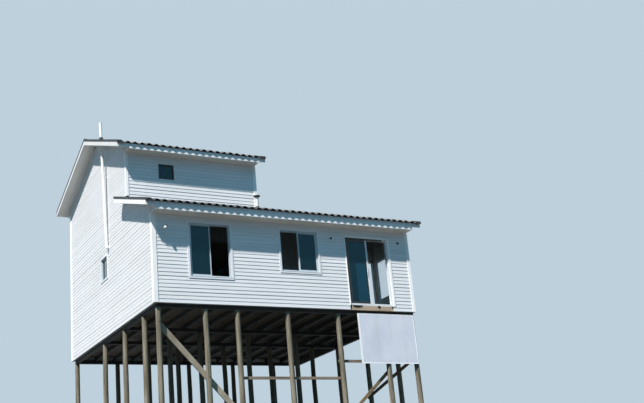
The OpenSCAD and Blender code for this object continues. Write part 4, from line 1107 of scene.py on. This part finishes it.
bend = [LAMP_BASE + Vector(step) for step in ((0, 0, 0), (0, -0.055, 0.034), (0, -0.106, 0.053),
                                              (-0.003, -0.138, 0.058))] + [hang @ Vector((0, 0, 0.088))]
for k, ring in enumerate(ring_stack(bm, 12, len(bend) - 1, 0.008)):
    heading = bend[min(k + 1, len(bend) - 1)] - bend[max(k - 1, 0)]
    turn = heading.to_track_quat("Z", "X").to_matrix().to_4x4()
    bmesh.ops.transform(bm, matrix=Matrix.Translation(bend[k]) @ turn, verts=ring)
hand_over(bm, "lamp_bracket", rubber, smooth=40)
bm = bmesh.new()
turned(bm, facing_front(*LAMP_BASE), (32, 0.040, 0.034, 0.024, 0))
hand_over(bm, "lamp_base", vent_finish.material, smooth=40)
bm = bmesh.new()
# the boxes are black all through: painted shade standing in for the dark of their open holes
for x in (5.46, 7.77):
    rim, inner = ring_stack(bm, 24, 1, 0.034)
    bmesh.ops.translate(bm, verts=inner, vec=(0, 0, -0.008))
    bmesh.ops.contextual_create(bm, geom=[e for e in edges_of(inner) if all(v in inner for v in e.verts)])
    bmesh.ops.transform(bm, matrix=facing_front(x, -0.0285, 2.11), verts=list(rim) + inner)
thicken(bm, bm.faces, 0.002)
hand_over(bm, "electric_boxes", rubber, smooth=40)


# Studio: a wide pale backdrop floor that can be seen through from below, a blue sky that only
# lights the house, a sun from the front left, and a weak lamp for the sides away from the sun.
bm = bmesh.new()
bmesh.ops.create_grid(bm, x_segments=1, y_segments=1, size=700)
mesh = bpy.data.meshes.new("floor")
bm.to_mesh(mesh)
bm.free()
floor = bpy.data.objects.new("floor", mesh)
bpy.context.scene.collection.objects.link(floor)
made = Finish("floor", 0.9, 0.1)
path = made.add("LightPath").outputs
seen = made.maths("MAXIMUM", made.maths("MAXIMUM", path["Is Camera Ray"], path["Is Glossy Ray"]),
                  path["Is Transmission Ray"])
made.paint(made.mix(seen, (0.056, 0.055, 0.050, 1), (0.34, 0.35, 0.36, 1)))
below = made.maths("MULTIPLY", made.add("NewGeometry").outputs["Backfacing"], path["Is Camera Ray"])
clear = made.add("BsdfTransparent").outputs[0]
blend = made.add("MixShader", {0: below, 1: made.shader.outputs[0], 2: clear}).outputs[0]
made.set(next(n for n in made.tree.nodes if n.type == "OUTPUT_MATERIAL"), {"Surface": blend})
mesh.materials.append(made.material)

world = bpy.data.worlds.new("sky")
world.use_nodes = True
world.node_tree.nodes.clear()
sky = Wiring(world.node_tree)
path = sky.add("LightPath").outputs
seen = sky.maths("MAXIMUM", sky.maths("MAXIMUM", path["Is Camera Ray"], path["Is Transmission Ray"]),
                 path["Is Glossy Ray"])
lit = sky.add("Background", {"Color": (0.12, 0.63, 1.0, 1), "Strength": 0.44}).outputs[0]
shown = sky.add("Background", {"Color": colour(190, 208, 220)}).outputs[0]
sky.add("OutputWorld", {"Surface": sky.add("MixShader", {0: seen, 1: lit, 2: shown}).outputs[0]})
bpy.context.scene.world = world

for name, energy, angle, tint, from_side in (
        ("main_lamp", 7.0, 1.8, (1.0, 0.945, 0.895), (-1.60, -1.0, 2.52)),
        ("fill_lamp", 1.6, 40, (1.0, 0.96, 0.92), (0.9, 1.5, 1.3))):
    lamp_data = bpy.data.lights.new(name, "SUN")
    lamp_data.energy = energy
    lamp_data.angle = math.radians(angle)
    lamp_data.color = tint
    lamp = bpy.data.objects.new(name, lamp_data)
    lamp.rotation_mode = "QUATERNION"
    lamp.rotation_quaternion = Vector(from_side).to_track_quat("Z", "Y")
    bpy.context.scene.collection.objects.link(lamp)
bpy.context.scene.view_settings.view_transform = "Standard"
